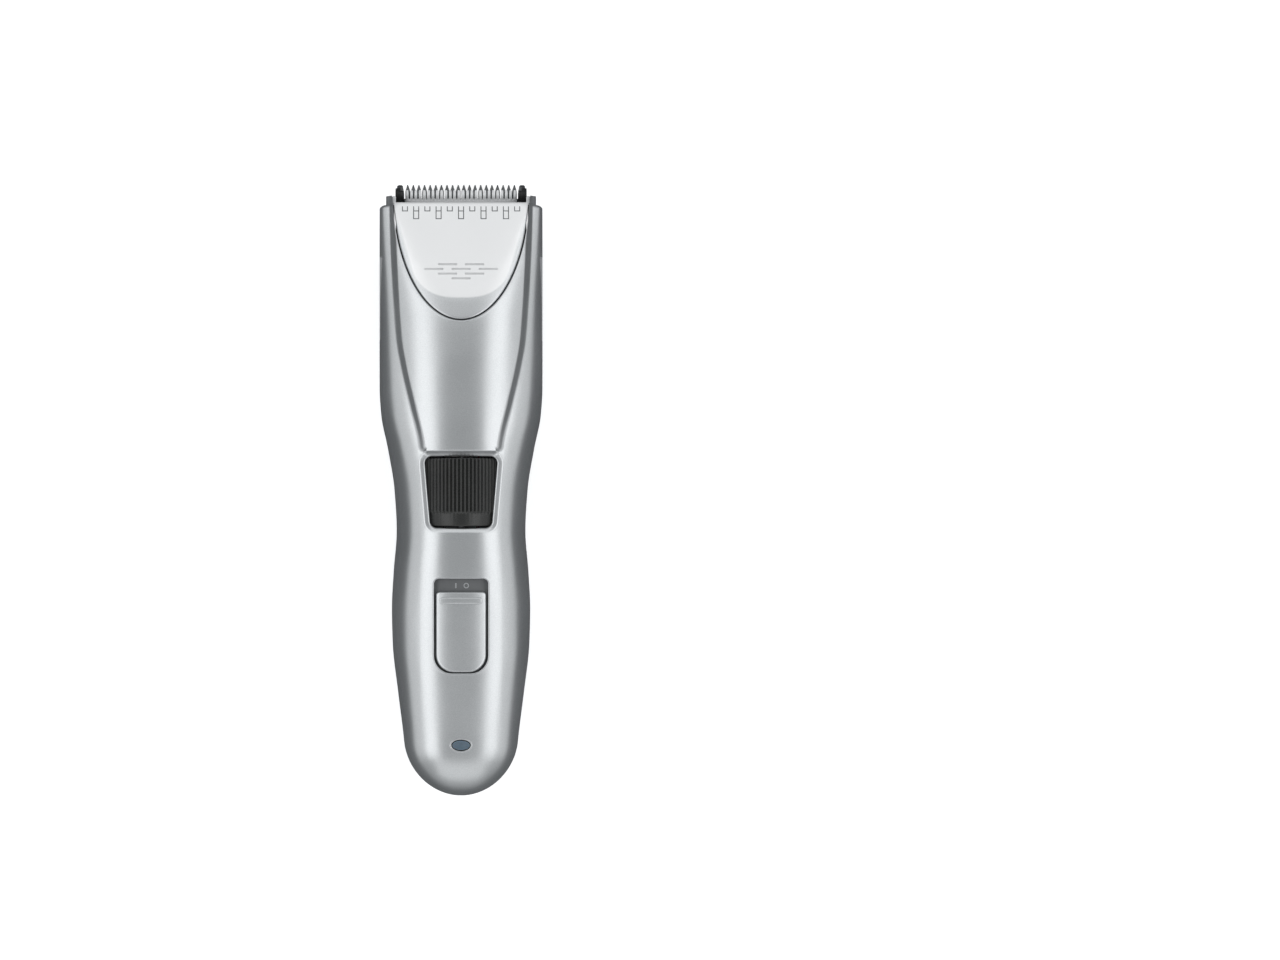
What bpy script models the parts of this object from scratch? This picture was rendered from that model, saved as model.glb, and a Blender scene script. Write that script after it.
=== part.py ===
"""A cordless hair clipper, lying on its back with its front face up.

X is its width, Y runs from the tail to the blade, and Z is up. The origin is below the middle of its
bounding box, on the surface that it lies on. The two housing shells, the head cover, the switch and the
lens all take their shape from the same body form, so they stay flush with each other.
"""

import math

import bmesh
import bpy
from mathutils import Matrix, Vector

mm = 0.001

# Overall sizes of the body form
BODY_LENGTH = 180 * mm
BODY_WIDTH = 48 * mm
BODY_HEIGHT = 38.9 * mm
PARTING_HEIGHT = 18 * mm
TAIL_ROUND = 16 * mm
FLAT_DEPTH = 0.4 * mm
PANEL_RAISE = 0.9 * mm
CREASE = 0.8 * mm
CREASE_ROLL = 2.2 * mm
WALL = 2.0 * mm
GAP = 0.3 * mm
TAIL = -BODY_LENGTH / 2
TIP = BODY_LENGTH / 2

# The form as (share of the length, share of the overall size) pairs
WIDTH_LINE = ((0, 0.65), (0.089, 0.7), (0.167, 0.771), (0.25, 0.84), (0.306, 0.85), (0.367, 0.828),
              (0.433, 0.791), (0.5, 0.818), (0.567, 0.898), (0.622, 0.98), (0.667, 1), (0.95, 1))
FRONT_LINE = ((0, 0.68), (0.083, 0.787), (0.167, 0.853), (0.25, 0.907), (0.306, 0.933), (0.39, 0.951),
              (0.567, 0.959), (0.694, 0.977), (0.75, 0.966), (0.8, 0.925), (0.86, 0.84), (0.92, 0.742),
              (0.98, 0.658))
BACK_LINE = ((0, 0.025), (0.083, 0.014), (0.156, 0), (0.622, 0), (0.722, 0.026), (0.79, 0.06),
             (0.845, 0.11), (0.9, 0.2), (0.95, 0.31))
CREASE_LINE = ((0.5, 0.49), (0.567, 0.517), (0.64, 0.637), (0.697, 0.737), (0.746, 0.8), (0.846, 0.85),
               (0.96, 0.885), (1, 0.89))
PANEL_SQUARE = ((0, 2.6), (0.5, 2.6), (0.62, 2.25), (0.78, 2.35), (0.97, 4.0))
WING_SQUARE = ((0, 2.6), (0.5, 2.6), (0.64, 2.8), (0.73, 3.2), (0.97, 4.0))
WING_SHARE = ((0, 1), (0.5, 1), (0.56, 0.97), (0.64, 0.9), (0.73, 0.83), (0.85, 0.8))
BACK_SQUARE = 3.0

# Head, measured back from the blade tips
HEAD_LENGTH = 40.8 * mm
COVER_EDGE = 5.3 * mm
COVER_HALF_WIDTH = 19.9 * mm
COVER_CENTRE = 2 * mm
COVER_WALL = 1.8 * mm
FACET_START = 34.7 * mm
FACET_HEIGHT = 36.9 * mm
FACET_SLOPE = 0.39
WING_END = 7.4 * mm
POST_END = 3.6 * mm
POST_HALF_WIDTH = 22.1 * mm
COVER_BACK = TIP - HEAD_LENGTH
COVER_FRONT = TIP - COVER_EDGE

# Blades, in their own tilted frame: Y to the tips, Z out of the front
BLADE_TILT = math.radians(30)
TIP_HEIGHT = 18 * mm
BLADE_WIDTH = 38.4 * mm
BLADE_DEPTH = 18.5 * mm
FIXED_THICK = 1.6 * mm
FIXED_PITCH = 1.657 * mm
FIXED_SLOTS = 21
FIXED_SLOT = (0.75 * mm, 4.5 * mm)
MOVING_WIDTH = 33.0 * mm
MOVING_DEPTH = 12 * mm
MOVING_THICK = 1.2 * mm
MOVING_RECESS = 1.0 * mm
MOVING_PITCH = 1.27 * mm
MOVING_SLOTS = 25
MOVING_SLOT = (0.6 * mm, 1.9 * mm)
STROKE = 0.8 * mm
FRAME_WIDTH = 38.6 * mm
FRAME_THICK = 2.7 * mm
END_BLOCK = 2.5 * mm
BLADE_SCREW_X = 12 * mm
BLADE_SCREW_BACK = 16 * mm
BLADE_SCREW_R = 0.95 * mm

# Motor and drive
MOTOR_GAP = 7.2 * mm
MOTOR_SIZE = (20 * mm, 26 * mm, 14.4 * mm)
MOTOR_HEIGHT = 11.3 * mm
SHAFT_R = 1.0 * mm
CAM_R = 3.4 * mm
CAM_LENGTH = 5 * mm
PIN_R = 1.1 * mm
PIN_LENGTH = 8.7 * mm
PIN_OFFSET = 0.8 * mm
FORK_LENGTH = 4 * mm
FORK_DROP = 3 * mm
CARRIER_HALF = 8 * mm
MOTOR_FRONT = COVER_BACK - MOTOR_GAP
CAM_BACK = COVER_BACK + 3.8 * mm
PIN_FRONT = CAM_BACK + CAM_LENGTH + GAP + PIN_LENGTH

# Length dial and the comb slider that it drives
DIAL_R = 13.5 * mm
DIAL_RISE = 0.6 * mm
DIAL_RIBS = 72
RIB_DEPTH = 0.5 * mm
WINDOW_WIDTHS = (20.9 * mm, 18.0 * mm)
WINDOW_LENGTH = 20.6 * mm
WINDOW_CORNER = 2 * mm
SMOOTH_BAND = 4.0 * mm
AXLE_R = 1.5 * mm
DRUM_R = 0.37 * DIAL_R
GROOVE_DEPTH = 2 * mm
COMB_TRAVEL = 18 * mm
DIAL_TURN = math.radians(300)
SLIDER_ARM = (1.5 * mm, 3.3 * mm)
SLIDER_LENGTH = 38 * mm
LUG_LENGTH = 6 * mm
BRIDGE_CORNER = 3 * mm
DIAL_Y = COVER_BACK - 49.8 * mm
WINDOW_FRONT = DIAL_Y + WINDOW_LENGTH / 2
WINDOW_BACK = DIAL_Y - WINDOW_LENGTH / 2
PANEL_END = WINDOW_FRONT + 1.5 * mm

# Power switch, measured back from the middle of the dial
SWITCH_BACK = 52.5 * mm
SWITCH_SIZE = (15.6 * mm, 27.4 * mm)
BUTTON_SIZE = (14.5 * mm, 23.3 * mm)
BUTTON_RISE = 0.6 * mm
AXLE_LUG = (8 * mm, 2.2 * mm)
RIDGE = (12.5 * mm, 2.0 * mm)
PLATE_THICK = 1.0 * mm

# What the housing holds
BATTERY_R = 7.1 * mm
BATTERY_LENGTH = 50 * mm
BATTERY_INSET = 19 * mm
BOARD_SIZE = (16.4 * mm, 56 * mm, 1.2 * mm)
LEAD_X = 5 * mm
LEAD_R = 0.5 * mm
LEAD_ROOM = 1 * mm
CHASSIS_HEIGHT = PARTING_HEIGHT + 1.0 * mm
CHASSIS_THICK = 1.4 * mm
JACK_R = 3.3 * mm
JACK_LENGTH = 9 * mm
JACK_HOLE_R = 1.7 * mm
JACK_HEIGHT = 14 * mm
LENS_SIZE = (5.3 * mm, 3.0 * mm)
LENS_INSET = 15.7 * mm
SCREW_R = 1.1 * mm
SCREW_HEAD_R = 2.2 * mm
SCREW_HEAD = 1.4 * mm
SCREW_SINK = 2.4 * mm
BOSS_R = 3 * mm
SCREW_PLACES = ((12.6 * mm, COVER_BACK - 4.2 * mm), (11.5 * mm, TAIL + 28 * mm))


# ---------------------------------------------------------------- the body form

def through(line, share):
    """The value at this share of a smooth curve through (share, value) pairs."""
    places = [place for place, _ in line]
    values = [value for _, value in line]
    share = min(max(share, places[0]), places[-1])
    i = max(k for k in range(len(line) - 1) if places[k] <= share)
    slopes = [(values[k + 1] - values[k]) / (places[k + 1] - places[k]) for k in range(len(line) - 1)]
    before = shared_slope(slopes[i - 1], slopes[i]) if i else slopes[i]
    after = shared_slope(slopes[i], slopes[i + 1]) if i + 1 < len(slopes) else slopes[i]
    step = places[i + 1] - places[i]
    t = (share - places[i]) / step
    return ((2 * t ** 3 - 3 * t ** 2 + 1) * values[i] + (t ** 3 - 2 * t ** 2 + t) * step * before
            + (3 * t ** 2 - 2 * t ** 3) * values[i + 1] + (t ** 3 - t ** 2) * step * after)


def shared_slope(first, second):
    """The slope where two stretches meet, which never lets the curve pass its points' values."""
    return 2 * first * second / (first + second) if first * second > 0 else 0


def share_of(y):
    return (y - TAIL) / BODY_LENGTH


def tail_share(y, inset):
    """0 ahead of the tail's rounding, 1 at its end."""
    start = TAIL + TAIL_ROUND
    return min(max((start - y) / (TAIL_ROUND - inset), 0), 1)


def half_width(y, inset=0):
    width = BODY_WIDTH / 2 * through(WIDTH_LINE, share_of(y))
    if y > TIP - WING_END:
        taper = min((y - TIP + WING_END) / CREASE, 1)
        width = min(width, BODY_WIDTH / 2 + (POST_HALF_WIDTH - BODY_WIDTH / 2) * taper)
    return max(width - inset, 0) * math.sqrt(1 - tail_share(y, inset) ** 2)


def crease_half_width(y):
    return BODY_WIDTH / 2 * through(CREASE_LINE, share_of(y))


def half_height(y, inset, front):
    """From the parting plane to the form's crest, or down to its back."""
    if front:
        height = BODY_HEIGHT * through(FRONT_LINE, share_of(y)) - PARTING_HEIGHT
    else:
        height = PARTING_HEIGHT + FLAT_DEPTH - BODY_HEIGHT * through(BACK_LINE, share_of(y))
    return (height - inset) * (1 - tail_share(y, inset) ** 3) ** (1 / 3)


def facet_height(y, inset=0):
    return FACET_HEIGHT - FACET_SLOPE * (y - TIP + FACET_START) - inset


def smooth(t):
    """0 up to 0, 1 from 1 on, and an even curve between them."""
    t = min(max(t, 0), 1)
    return t * t * (3 - 2 * t)


def bow(across, square):
    """Height of a superellipse's quarter, from 1 in the middle to 0 at its edge."""
    return (1 - min(across, 1) ** square) ** (1 / square)


def front_height(x, y, inset=0, raised=True):
    """Height of the front surface above x, y: the panel between the creases, and a wing outside each."""
    width = half_width(y, inset)
    if width <= 0:
        return PARTING_HEIGHT
    share = share_of(y)
    height = half_height(y, inset, True)
    across = abs(x) / width
    wing = height * through(WING_SHARE, share) * bow(across, through(WING_SQUARE, share))
    panel = height * bow(across, through(PANEL_SQUARE, share))
    if raised and y > PANEL_END - CREASE / 2:
        panel += PANEL_RAISE
    return PARTING_HEIGHT + wing + (panel - wing) * smooth((crease_half_width(y) - abs(x)) / CREASE_ROLL)


def section(y, inset, front, lift, raised):
    """Points across the form at y, from its right edge over the front or the back to its left edge.

    The front's points close up at the crease, where the panel rolls down to the wing.
    """
    width = half_width(y, inset)
    height = half_height(y, inset, front)
    square = through(WING_SQUARE, share_of(y)) if front else BACK_SQUARE
    squeeze = max(height - lift, 0) / height if height > 0 else 0
    middle = math.pi / 2
    if front and width > 0:
        edges = (min(crease_half_width(y) / width, 0.96),
                 min((crease_half_width(y) - CREASE_ROLL) / width, 0.88))
        crease, foot = (math.acos(edge ** (square / 2)) for edge in edges)
        angles = [crease * k / 5 for k in range(5)] + [crease + (foot - crease) * k / 3 for k in range(3)]
        angles += [foot + (middle - foot) * k / 5 for k in range(6)]
    else:
        angles = [middle * k / 8 for k in range(9)]
    half = []
    for angle in angles:
        x = width * math.cos(angle) ** (2 / square) if angle < middle else 0
        if front:
            z = PARTING_HEIGHT + lift + (front_height(x, y, inset, raised) - PARTING_HEIGHT) * squeeze
            z = min(z, facet_height(y, inset))
        else:
            z = max(PARTING_HEIGHT - lift - height * squeeze * math.sin(angle) ** (2 / square), inset)
        half.append(Vector((x, y, z)))
    return half + [Vector((-p.x, p.y, p.z)) for p in reversed(half[:-1])]


def stations(start, end, inset):
    """Places along Y where the form is drawn: closer at the tail, the panel's end and the wings' ends."""
    tail, rounded = TAIL + inset, TAIL_ROUND - inset
    rounding = [tail + rounded * (1 - math.cos(math.pi / 2 * k / 5)) for k in range(6)]
    handle = [TAIL + TAIL_ROUND + (PANEL_END - CREASE - TAIL - TAIL_ROUND) * k / 9 for k in range(1, 10)]
    head = [PANEL_END + (TIP - WING_END - PANEL_END) * k / 10 for k in range(11)]
    ends = [TIP - WING_END + CREASE, TIP - POST_END]
    places = [y for y in rounding + handle + head + ends if start < y < end]
    return [start] + places + [end]


# ---------------------------------------------------------------- building tools

def clear_scene():
    for obj in list(bpy.data.objects):
        bpy.data.objects.remove(obj, do_unlink=True)


def make_collection(name):
    collection = bpy.data.collections.new(name)
    bpy.context.scene.collection.children.link(collection)
    return collection


def make_material(name, colour, roughness, metallic=0.0):
    material = bpy.data.materials.new(name)
    material.use_nodes = True
    shader = material.node_tree.nodes["Principled BSDF"]
    shader.inputs["Base Color"].default_value = (*colour, 1)
    shader.inputs["Roughness"].default_value = roughness
    shader.inputs["Metallic"].default_value = metallic
    material.diffuse_color = (*colour, 1)
    return material


def add_mesh(name, mesh, matrix=None):
    """A new object in the cutters' collection. finish moves it to the parts' one."""
    mesh.shade_smooth()
    mesh.set_sharp_from_angle(angle=math.radians(35))
    obj = bpy.data.objects.new(name, mesh)
    obj.hide_render = True
    obj.display_type = "WIRE"
    obj.matrix_world = matrix or Matrix()
    CUTTERS.objects.link(obj)
    return obj


def from_bmesh(name, shape, matrix=None):
    bmesh.ops.recalc_face_normals(shape, faces=shape.faces)
    mesh = bpy.data.meshes.new(name)
    shape.to_mesh(mesh)
    shape.free()
    return add_mesh(name, mesh, matrix)


def box(name, low, high, matrix=None):
    shape = bmesh.new()
    size = Vector(high) - Vector(low)
    place = Matrix.Translation((Vector(high) + Vector(low)) / 2) @ Matrix.Diagonal((*size, 1))
    bmesh.ops.create_cube(shape, size=1, matrix=place)
    return from_bmesh(name, shape, matrix)


def rod(name, start, end, radius, sides=24, matrix=None):
    """A cylinder between two points."""
    start, end = Vector(start), Vector(end)
    turn = (end - start).to_track_quat("Z", "Y").to_matrix().to_4x4()
    shape = bmesh.new()
    bmesh.ops.create_cone(shape, cap_ends=True, segments=sides, radius1=radius, radius2=radius,
                          depth=(end - start).length, matrix=Matrix.Translation((start + end) / 2) @ turn)
    return from_bmesh(name, shape, matrix)


def from_curve(name, curve, matrix=None):
    """The curve's own mesh with its caps welded to its sides."""
    holder = bpy.data.objects.new(name + "_curve", curve)
    CUTTERS.objects.link(holder)
    graph = bpy.context.evaluated_depsgraph_get()
    mesh = bpy.data.meshes.new_from_object(holder.evaluated_get(graph))
    bpy.data.objects.remove(holder)
    shape = bmesh.new()
    shape.from_mesh(mesh)
    bmesh.ops.remove_doubles(shape, verts=shape.verts, dist=0.00001)
    return from_bmesh(name, shape, matrix)


def prism(name, outline, low, high, matrix=None):
    """A flat outline in X and Y, given thickness from low to high along Z."""
    curve = bpy.data.curves.new(name, "CURVE")
    curve.dimensions = "2D"
    curve.fill_mode = "BOTH"
    curve.extrude = (high - low) / 2
    spline = curve.splines.new("POLY")
    spline.points.add(len(outline) - 1)
    for point, (x, y) in zip(spline.points, outline):
        point.co = (x, y, 0, 1)
    spline.use_cyclic_u = True
    place = Matrix.Translation((0, 0, (high + low) / 2))
    return from_curve(name, curve, (matrix or Matrix()) @ place)


def side_prism(name, outline, half_width_x):
    """A prism whose outline is in Y and Z and whose thickness is along X."""
    turned = Matrix(((0, 0, 1, 0), (1, 0, 0, 0), (0, 1, 0, 0), (0, 0, 0, 1)))
    return prism(name, outline, -half_width_x, half_width_x, turned)


def turned_along_y(name, profile, centre, steps=32):
    """A closed profile of (radius, y) pairs, run back along its outer side, turned about a line along Y."""
    mesh = bpy.data.meshes.new(name)
    points = [(radius, 0, y) for radius, y in profile]
    count = len(points)
    mesh.from_pydata(points, [(k, (k + 1) % count) for k in range(count)], [])
    obj = add_mesh(name, mesh, Matrix.Translation(centre) @ Matrix.Rotation(math.radians(-90), 4, "X"))
    screw = obj.modifiers.new("turn", "SCREW")
    screw.axis = "Z"
    screw.steps = steps
    screw.render_steps = steps
    screw.use_merge_vertices = True
    screw.merge_threshold = 0.00001
    return obj


def front_prism(name, outline, back, front):
    """A prism whose outline is in X and Z and whose thickness is along Y."""
    return prism(name, outline, -front, -back, Matrix.Rotation(math.radians(90), 4, "X"))


def wire(name, points, radius):
    """A round wire along a smooth run of points."""
    curve = bpy.data.curves.new(name, "CURVE")
    curve.dimensions = "3D"
    curve.bevel_depth = radius
    curve.bevel_resolution = 2
    curve.use_fill_caps = True
    spline = curve.splines.new("POLY")
    spline.points.add(len(points) - 1)
    for point, place in zip(spline.points, points):
        point.co = (*place, 1)
    return from_curve(name, curve)


def rounded_run(corners, steps=4):
    """Points along a path whose inner corners are replaced with quadratic curves."""
    corners = [Vector(corner) for corner in corners]
    run = [corners[0]]
    for before, corner, after in zip(corners, corners[1:], corners[2:]):
        start = corner + (before - corner).normalized() * min((before - corner).length * 0.45, 3 * mm)
        end = corner + (after - corner).normalized() * min((after - corner).length * 0.45, 3 * mm)
        for k in range(steps + 1):
            t = k / steps
            run.append(start * (1 - t) ** 2 + corner * 2 * t * (1 - t) + end * t ** 2)
    return run + [corners[-1]]


def combine(obj, other, operation):
    step = obj.modifiers.new(f"{operation.lower()} {other.name}", "BOOLEAN")
    step.operation = operation
    step.object = other
    return obj


def cut(obj, *others):
    for other in others:
        combine(obj, other, "DIFFERENCE")
    return obj


def join(obj, *others):
    for other in others:
        combine(obj, other, "UNION")
    return obj


def keep(obj, *others):
    for other in others:
        combine(obj, other, "INTERSECT")
    return obj


def finish(obj, material, joint=None):
    """Makes the object a part, with its material, and hangs it on its joint's empty."""
    CUTTERS.objects.unlink(obj)
    PARTS.objects.link(obj)
    obj.hide_render = False
    obj.display_type = "TEXTURED"
    obj.data.materials.clear()
    obj.data.materials.append(material)
    if joint:
        obj.parent = joint
        obj.matrix_parent_inverse = joint.matrix_world.inverted()
    return obj


def make_joint(name, place):
    joint = bpy.data.objects.new(name, None)
    joint.empty_display_size = 5 * mm
    PARTS.objects.link(joint)
    joint.location = place
    bpy.context.view_layer.update()
    return joint


def rounded_corner(centre, radius, start, steps=5):
    """Points of a quarter circle that turns left from the start angle."""
    x, y = centre
    angles = [start + math.pi / 2 * k / (steps - 1) for k in range(steps)]
    return [(x + radius * math.cos(a), y + radius * math.sin(a)) for a in angles]


def rounded_trapezoid(front_width, back_width, back, front, front_radius, back_radius):
    """An outline in X and Y with its own width and corner radius at each end."""
    fx, bx = front_width / 2, back_width / 2
    return (rounded_corner((fx - front_radius, front - front_radius), front_radius, 0)
            + rounded_corner((-fx + front_radius, front - front_radius), front_radius, math.pi / 2)
            + rounded_corner((-bx + back_radius, back + back_radius), back_radius, math.pi)
            + rounded_corner((bx - back_radius, back + back_radius), back_radius, 3 * math.pi / 2))


def ellipse(width, length, y, steps=20):
    turns = [2 * math.pi * k / steps for k in range(steps)]
    return [(width / 2 * math.cos(a), y + length / 2 * math.sin(a)) for a in turns]


# ---------------------------------------------------------------- lofts of the form

def skin(shape, rings, closed):
    """Faces between neighbouring rings of vertices, where a ring of one vertex is a pole."""
    for first, second in zip(rings, rings[1:]):
        count = max(len(first), len(second))
        for i in range(count if closed else count - 1):
            j = (i + 1) % count
            corners = [first[i % len(first)], second[i % len(second)],
                       second[j % len(second)], first[j % len(first)]]
            shape.faces.new(list(dict.fromkeys(corners)))


def form_rings(shape, start, end, inset, front, lift, raised=True):
    rings = []
    for y in stations(start, end, inset):
        points = section(y, inset, front, lift, raised)
        if half_width(y, inset) < 0.01 * mm:
            points = [Vector((0, y, PARTING_HEIGHT + (lift if front else -lift)))]
        rings.append([shape.verts.new(point) for point in points])
    return rings


def form_solid(name, start, end, inset, raised=True, front=True):
    """The solid front or back half of the form, smaller by inset all round."""
    shape = bmesh.new()
    rings = form_rings(shape, max(start, TAIL + inset), end, inset, front, 0, raised)
    skin(shape, rings, True)
    for ring in (rings[0], rings[-1]):
        if len(ring) > 1:
            shape.faces.new(ring)
    return from_bmesh(name, shape)


def form_shell(name, end, front):
    """One half of the housing: the form's surface with a wall inside it, open at the head."""
    shape = bmesh.new()
    outer = form_rings(shape, TAIL, end, 0, front, GAP / 2)
    inner = form_rings(shape, TAIL + WALL, end, WALL, front, GAP / 2, False)
    skin(shape, outer, False)
    skin(shape, inner, False)
    for side in (0, -1):
        skin(shape, [[ring[side] for ring in outer], [ring[side] for ring in inner]], False)
    skin(shape, [outer[-1], inner[-1]], False)
    return from_bmesh(name, shape)


def cover_outline(grow, front):
    """The head cover's outline: half an ellipse at the back, straight beside the blade."""
    centre = TIP - COVER_CENTRE
    half = COVER_HALF_WIDTH + grow
    length = centre - COVER_BACK + grow
    turns = [math.pi + math.pi * k / 24 for k in range(25)]
    arc = [(half * math.cos(a), centre + length * math.sin(a)) for a in turns]
    return arc + [(half, front), (-half, front)]


# ---------------------------------------------------------------- fixed pieces

def build_front_shell():
    shell = form_shell("front_shell", TIP - POST_END, True)
    window_outline = rounded_trapezoid(*WINDOW_WIDTHS, WINDOW_BACK, WINDOW_FRONT, WINDOW_CORNER,
                                       WINDOW_CORNER)
    window = prism("dial_window", window_outline, CHASSIS_HEIGHT, BODY_HEIGHT * 1.2)
    dial_room = rod("dial_room", (0, WINDOW_BACK, DIAL_Z), (0, WINDOW_FRONT, DIAL_Z), DIAL_R + 2 * GAP, 48)
    switch_window = prism("switch_window", switch_outline(SWITCH_SIZE, 1.5 * mm, 5 * mm, SWITCH_START),
                          CHASSIS_HEIGHT, BODY_HEIGHT * 1.2)
    lens_hole = prism("lens_hole", ellipse(LENS_SIZE[0] + GAP, LENS_SIZE[1] + GAP, TAIL + LENS_INSET),
                      CHASSIS_HEIGHT, BODY_HEIGHT)
    head_opening = prism("head_opening", cover_outline(GAP / 2, TIP + 5 * mm), PARTING_HEIGHT,
                         BODY_HEIGHT * 1.2)
    room = form_solid("front_room", TAIL, TIP - POST_END, WALL / 2, False)
    join(shell, *(keep(front_boss(x, y), room) for x, y in screw_places()))
    cut(shell, window, dial_room, switch_window, lens_hole, head_opening)
    cut(shell, *(comb_slot(side) for side in (-1, 1)))
    bores = [rod("front_bore", (x, y, PARTING_HEIGHT), (x, y, PARTING_HEIGHT + 7 * mm), SCREW_R + GAP, 12)
             for x, y in screw_places()]
    cut(shell, *bores)
    finish(shell, SILVER)


def screw_places():
    return [(side * x, y) for x, y in SCREW_PLACES for side in (-1, 1)]


def front_boss(x, y):
    return rod("front_boss", (x, y, CHASSIS_HEIGHT + CHASSIS_THICK + GAP), (x, y, BODY_HEIGHT), BOSS_R, 16)


def comb_slot(side):
    low, high = SLIDER_Z - GAP, SLIDER_Z + SLIDER_ARM[1] + GAP
    near, far = side * (BODY_WIDTH / 2 - 2 * WALL), side * BODY_WIDTH
    return box("comb_slot", (min(near, far), LUG_BACK - GAP, low),
               (max(near, far), LUG_BACK + LUG_LENGTH + COMB_TRAVEL + GAP, high))


def build_rear_shell():
    shell = form_shell("rear_shell", TIP - POST_END - WALL, False)
    room = form_solid("rear_room", TAIL, TIP - POST_END, WALL / 2, False, False)
    bosses = [rear_boss(x, y, room) for x, y in screw_places()]
    bores = [rod("rear_bore", (x, y, -WALL), (x, y, PARTING_HEIGHT * 1.2), SCREW_R + GAP / 2, 12)
             for x, y in screw_places()]
    sinks = [rod("screw_sink", (x, y, -WALL), (x, y, screw_seat(x, y)), SCREW_HEAD_R + GAP, 16)
             for x, y in screw_places()]
    slope = math.tan(BLADE_TILT)
    lowest = TIP_HEIGHT + (REAR_END - TIP) * slope
    past = TIP + 10 * mm
    under_blade = side_prism("under_blade", [(REAR_END, -WALL), (past, -WALL),
                                             (past, TIP_HEIGHT + 10 * mm * slope), (REAR_END, lowest)],
                             BODY_WIDTH)
    ledge = 9.2 * mm
    inner = FRAME_BACK.y - GAP
    pocket = side_prism("blade_pocket", [(REAR_END, -WALL), (past, -WALL), (past, BODY_HEIGHT),
                                         (inner, BODY_HEIGHT), (inner, ledge), (REAR_END, ledge)],
                        FRAME_WIDTH / 2 + 1.5 * GAP)
    jack_hole = rod("jack_hole", (0, TAIL - WALL, JACK_HEIGHT), (0, TAIL + 2.5 * WALL, JACK_HEIGHT),
                    JACK_HOLE_R, 20)
    join(shell, *bosses)
    cut(shell, *bores, *sinks, under_blade, pocket, jack_hole)
    finish(shell, SILVER)


def rear_boss(x, y, room):
    """A screw boss from inside the back wall to just under the chassis."""
    stub = rod("boss_stub", (x, y, 0), (x, y, PARTING_HEIGHT - GAP), BOSS_R, 16)
    return join(keep(stub, room), rod("boss_top", (x, y, PARTING_HEIGHT / 2), (x, y, CHASSIS_HEIGHT - GAP),
                                      BOSS_R, 16))


def back_height(x, y):
    """Height of the back surface below the point x, y."""
    across = min(abs(x) / half_width(y), 1)
    return max(PARTING_HEIGHT - half_height(y, 0, False) * (1 - across ** BACK_SQUARE) ** (1 / BACK_SQUARE),
               0)


def screw_seat(x, y):
    return back_height(x, y) + SCREW_SINK


def build_case_screws():
    for number, (x, y) in enumerate(screw_places(), 1):
        top = screw_seat(x, y) - GAP / 2
        screw = rod(f"case_screw_{number}", (x, y, top - SCREW_HEAD), (x, y, top), SCREW_HEAD_R, 20)
        shank = rod("shank", (x, y, top - SCREW_HEAD / 2), (x, y, PARTING_HEIGHT + 6 * mm), SCREW_R, 12)
        finish(join(screw, shank), STEEL)


def build_chassis():
    """The inner frame: a plate that follows the housing, with lugs for the dial's axle."""
    back, front = TAIL + 20 * mm, COVER_BACK - 3.2 * mm
    places = [back + (front - back) * k / 14 for k in range(15)]
    right = [(half_width(y) - WALL - 2 * GAP, y) for y in places]
    outline = right + [(-x, y) for x, y in reversed(right)]
    low, high = CHASSIS_HEIGHT, CHASSIS_HEIGHT + CHASSIS_THICK
    chassis = prism("chassis", outline, low, high)
    dial_slot = box("dial_slot", (-DIAL_R - GAP, DIAL_BACK - 2 * GAP, low - WALL),
                    (DIAL_R + GAP, DIAL_FRONT + 2 * GAP, high + WALL))
    drum_slot = box("drum_slot", (-DRUM_R - 2 * GAP, DIAL_FRONT, low - WALL),
                    (DRUM_R + 2 * GAP, DRUM_FRONT + GAP, high + WALL))
    half, top = AXLE_LUG[0] / 2, DIAL_Z + AXLE_R + 1.5 * mm
    lugs = [box("axle_lug", (-half, y, low + GAP), (half, y + AXLE_LUG[1], top))
            for y in (AXLE_LUG_BACK, DRUM_FRONT + 0.5 * mm)]
    bore = rod("axle_bore", (0, DIAL_BACK - 10 * mm, DIAL_Z), (0, DRUM_FRONT + 10 * mm, DIAL_Z),
               AXLE_R + GAP / 2)
    holes = [rod("chassis_hole", (x, y, low - WALL), (x, y, high + WALL), SCREW_R + GAP, 12)
             for x, y in screw_places()]
    lead_slots = [box("lead_slot", (x - LEAD_ROOM, LEAD_Y - LEAD_ROOM, low - WALL),
                      (x + LEAD_ROOM, LEAD_Y + LEAD_ROOM, high + WALL))
                  for x in (-LEAD_X, LEAD_X)]
    cut(chassis, dial_slot, drum_slot, *lead_slots)
    join(chassis, *lugs)
    cut(chassis, bore, *holes)
    finish(chassis, DARK_PLASTIC)


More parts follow.
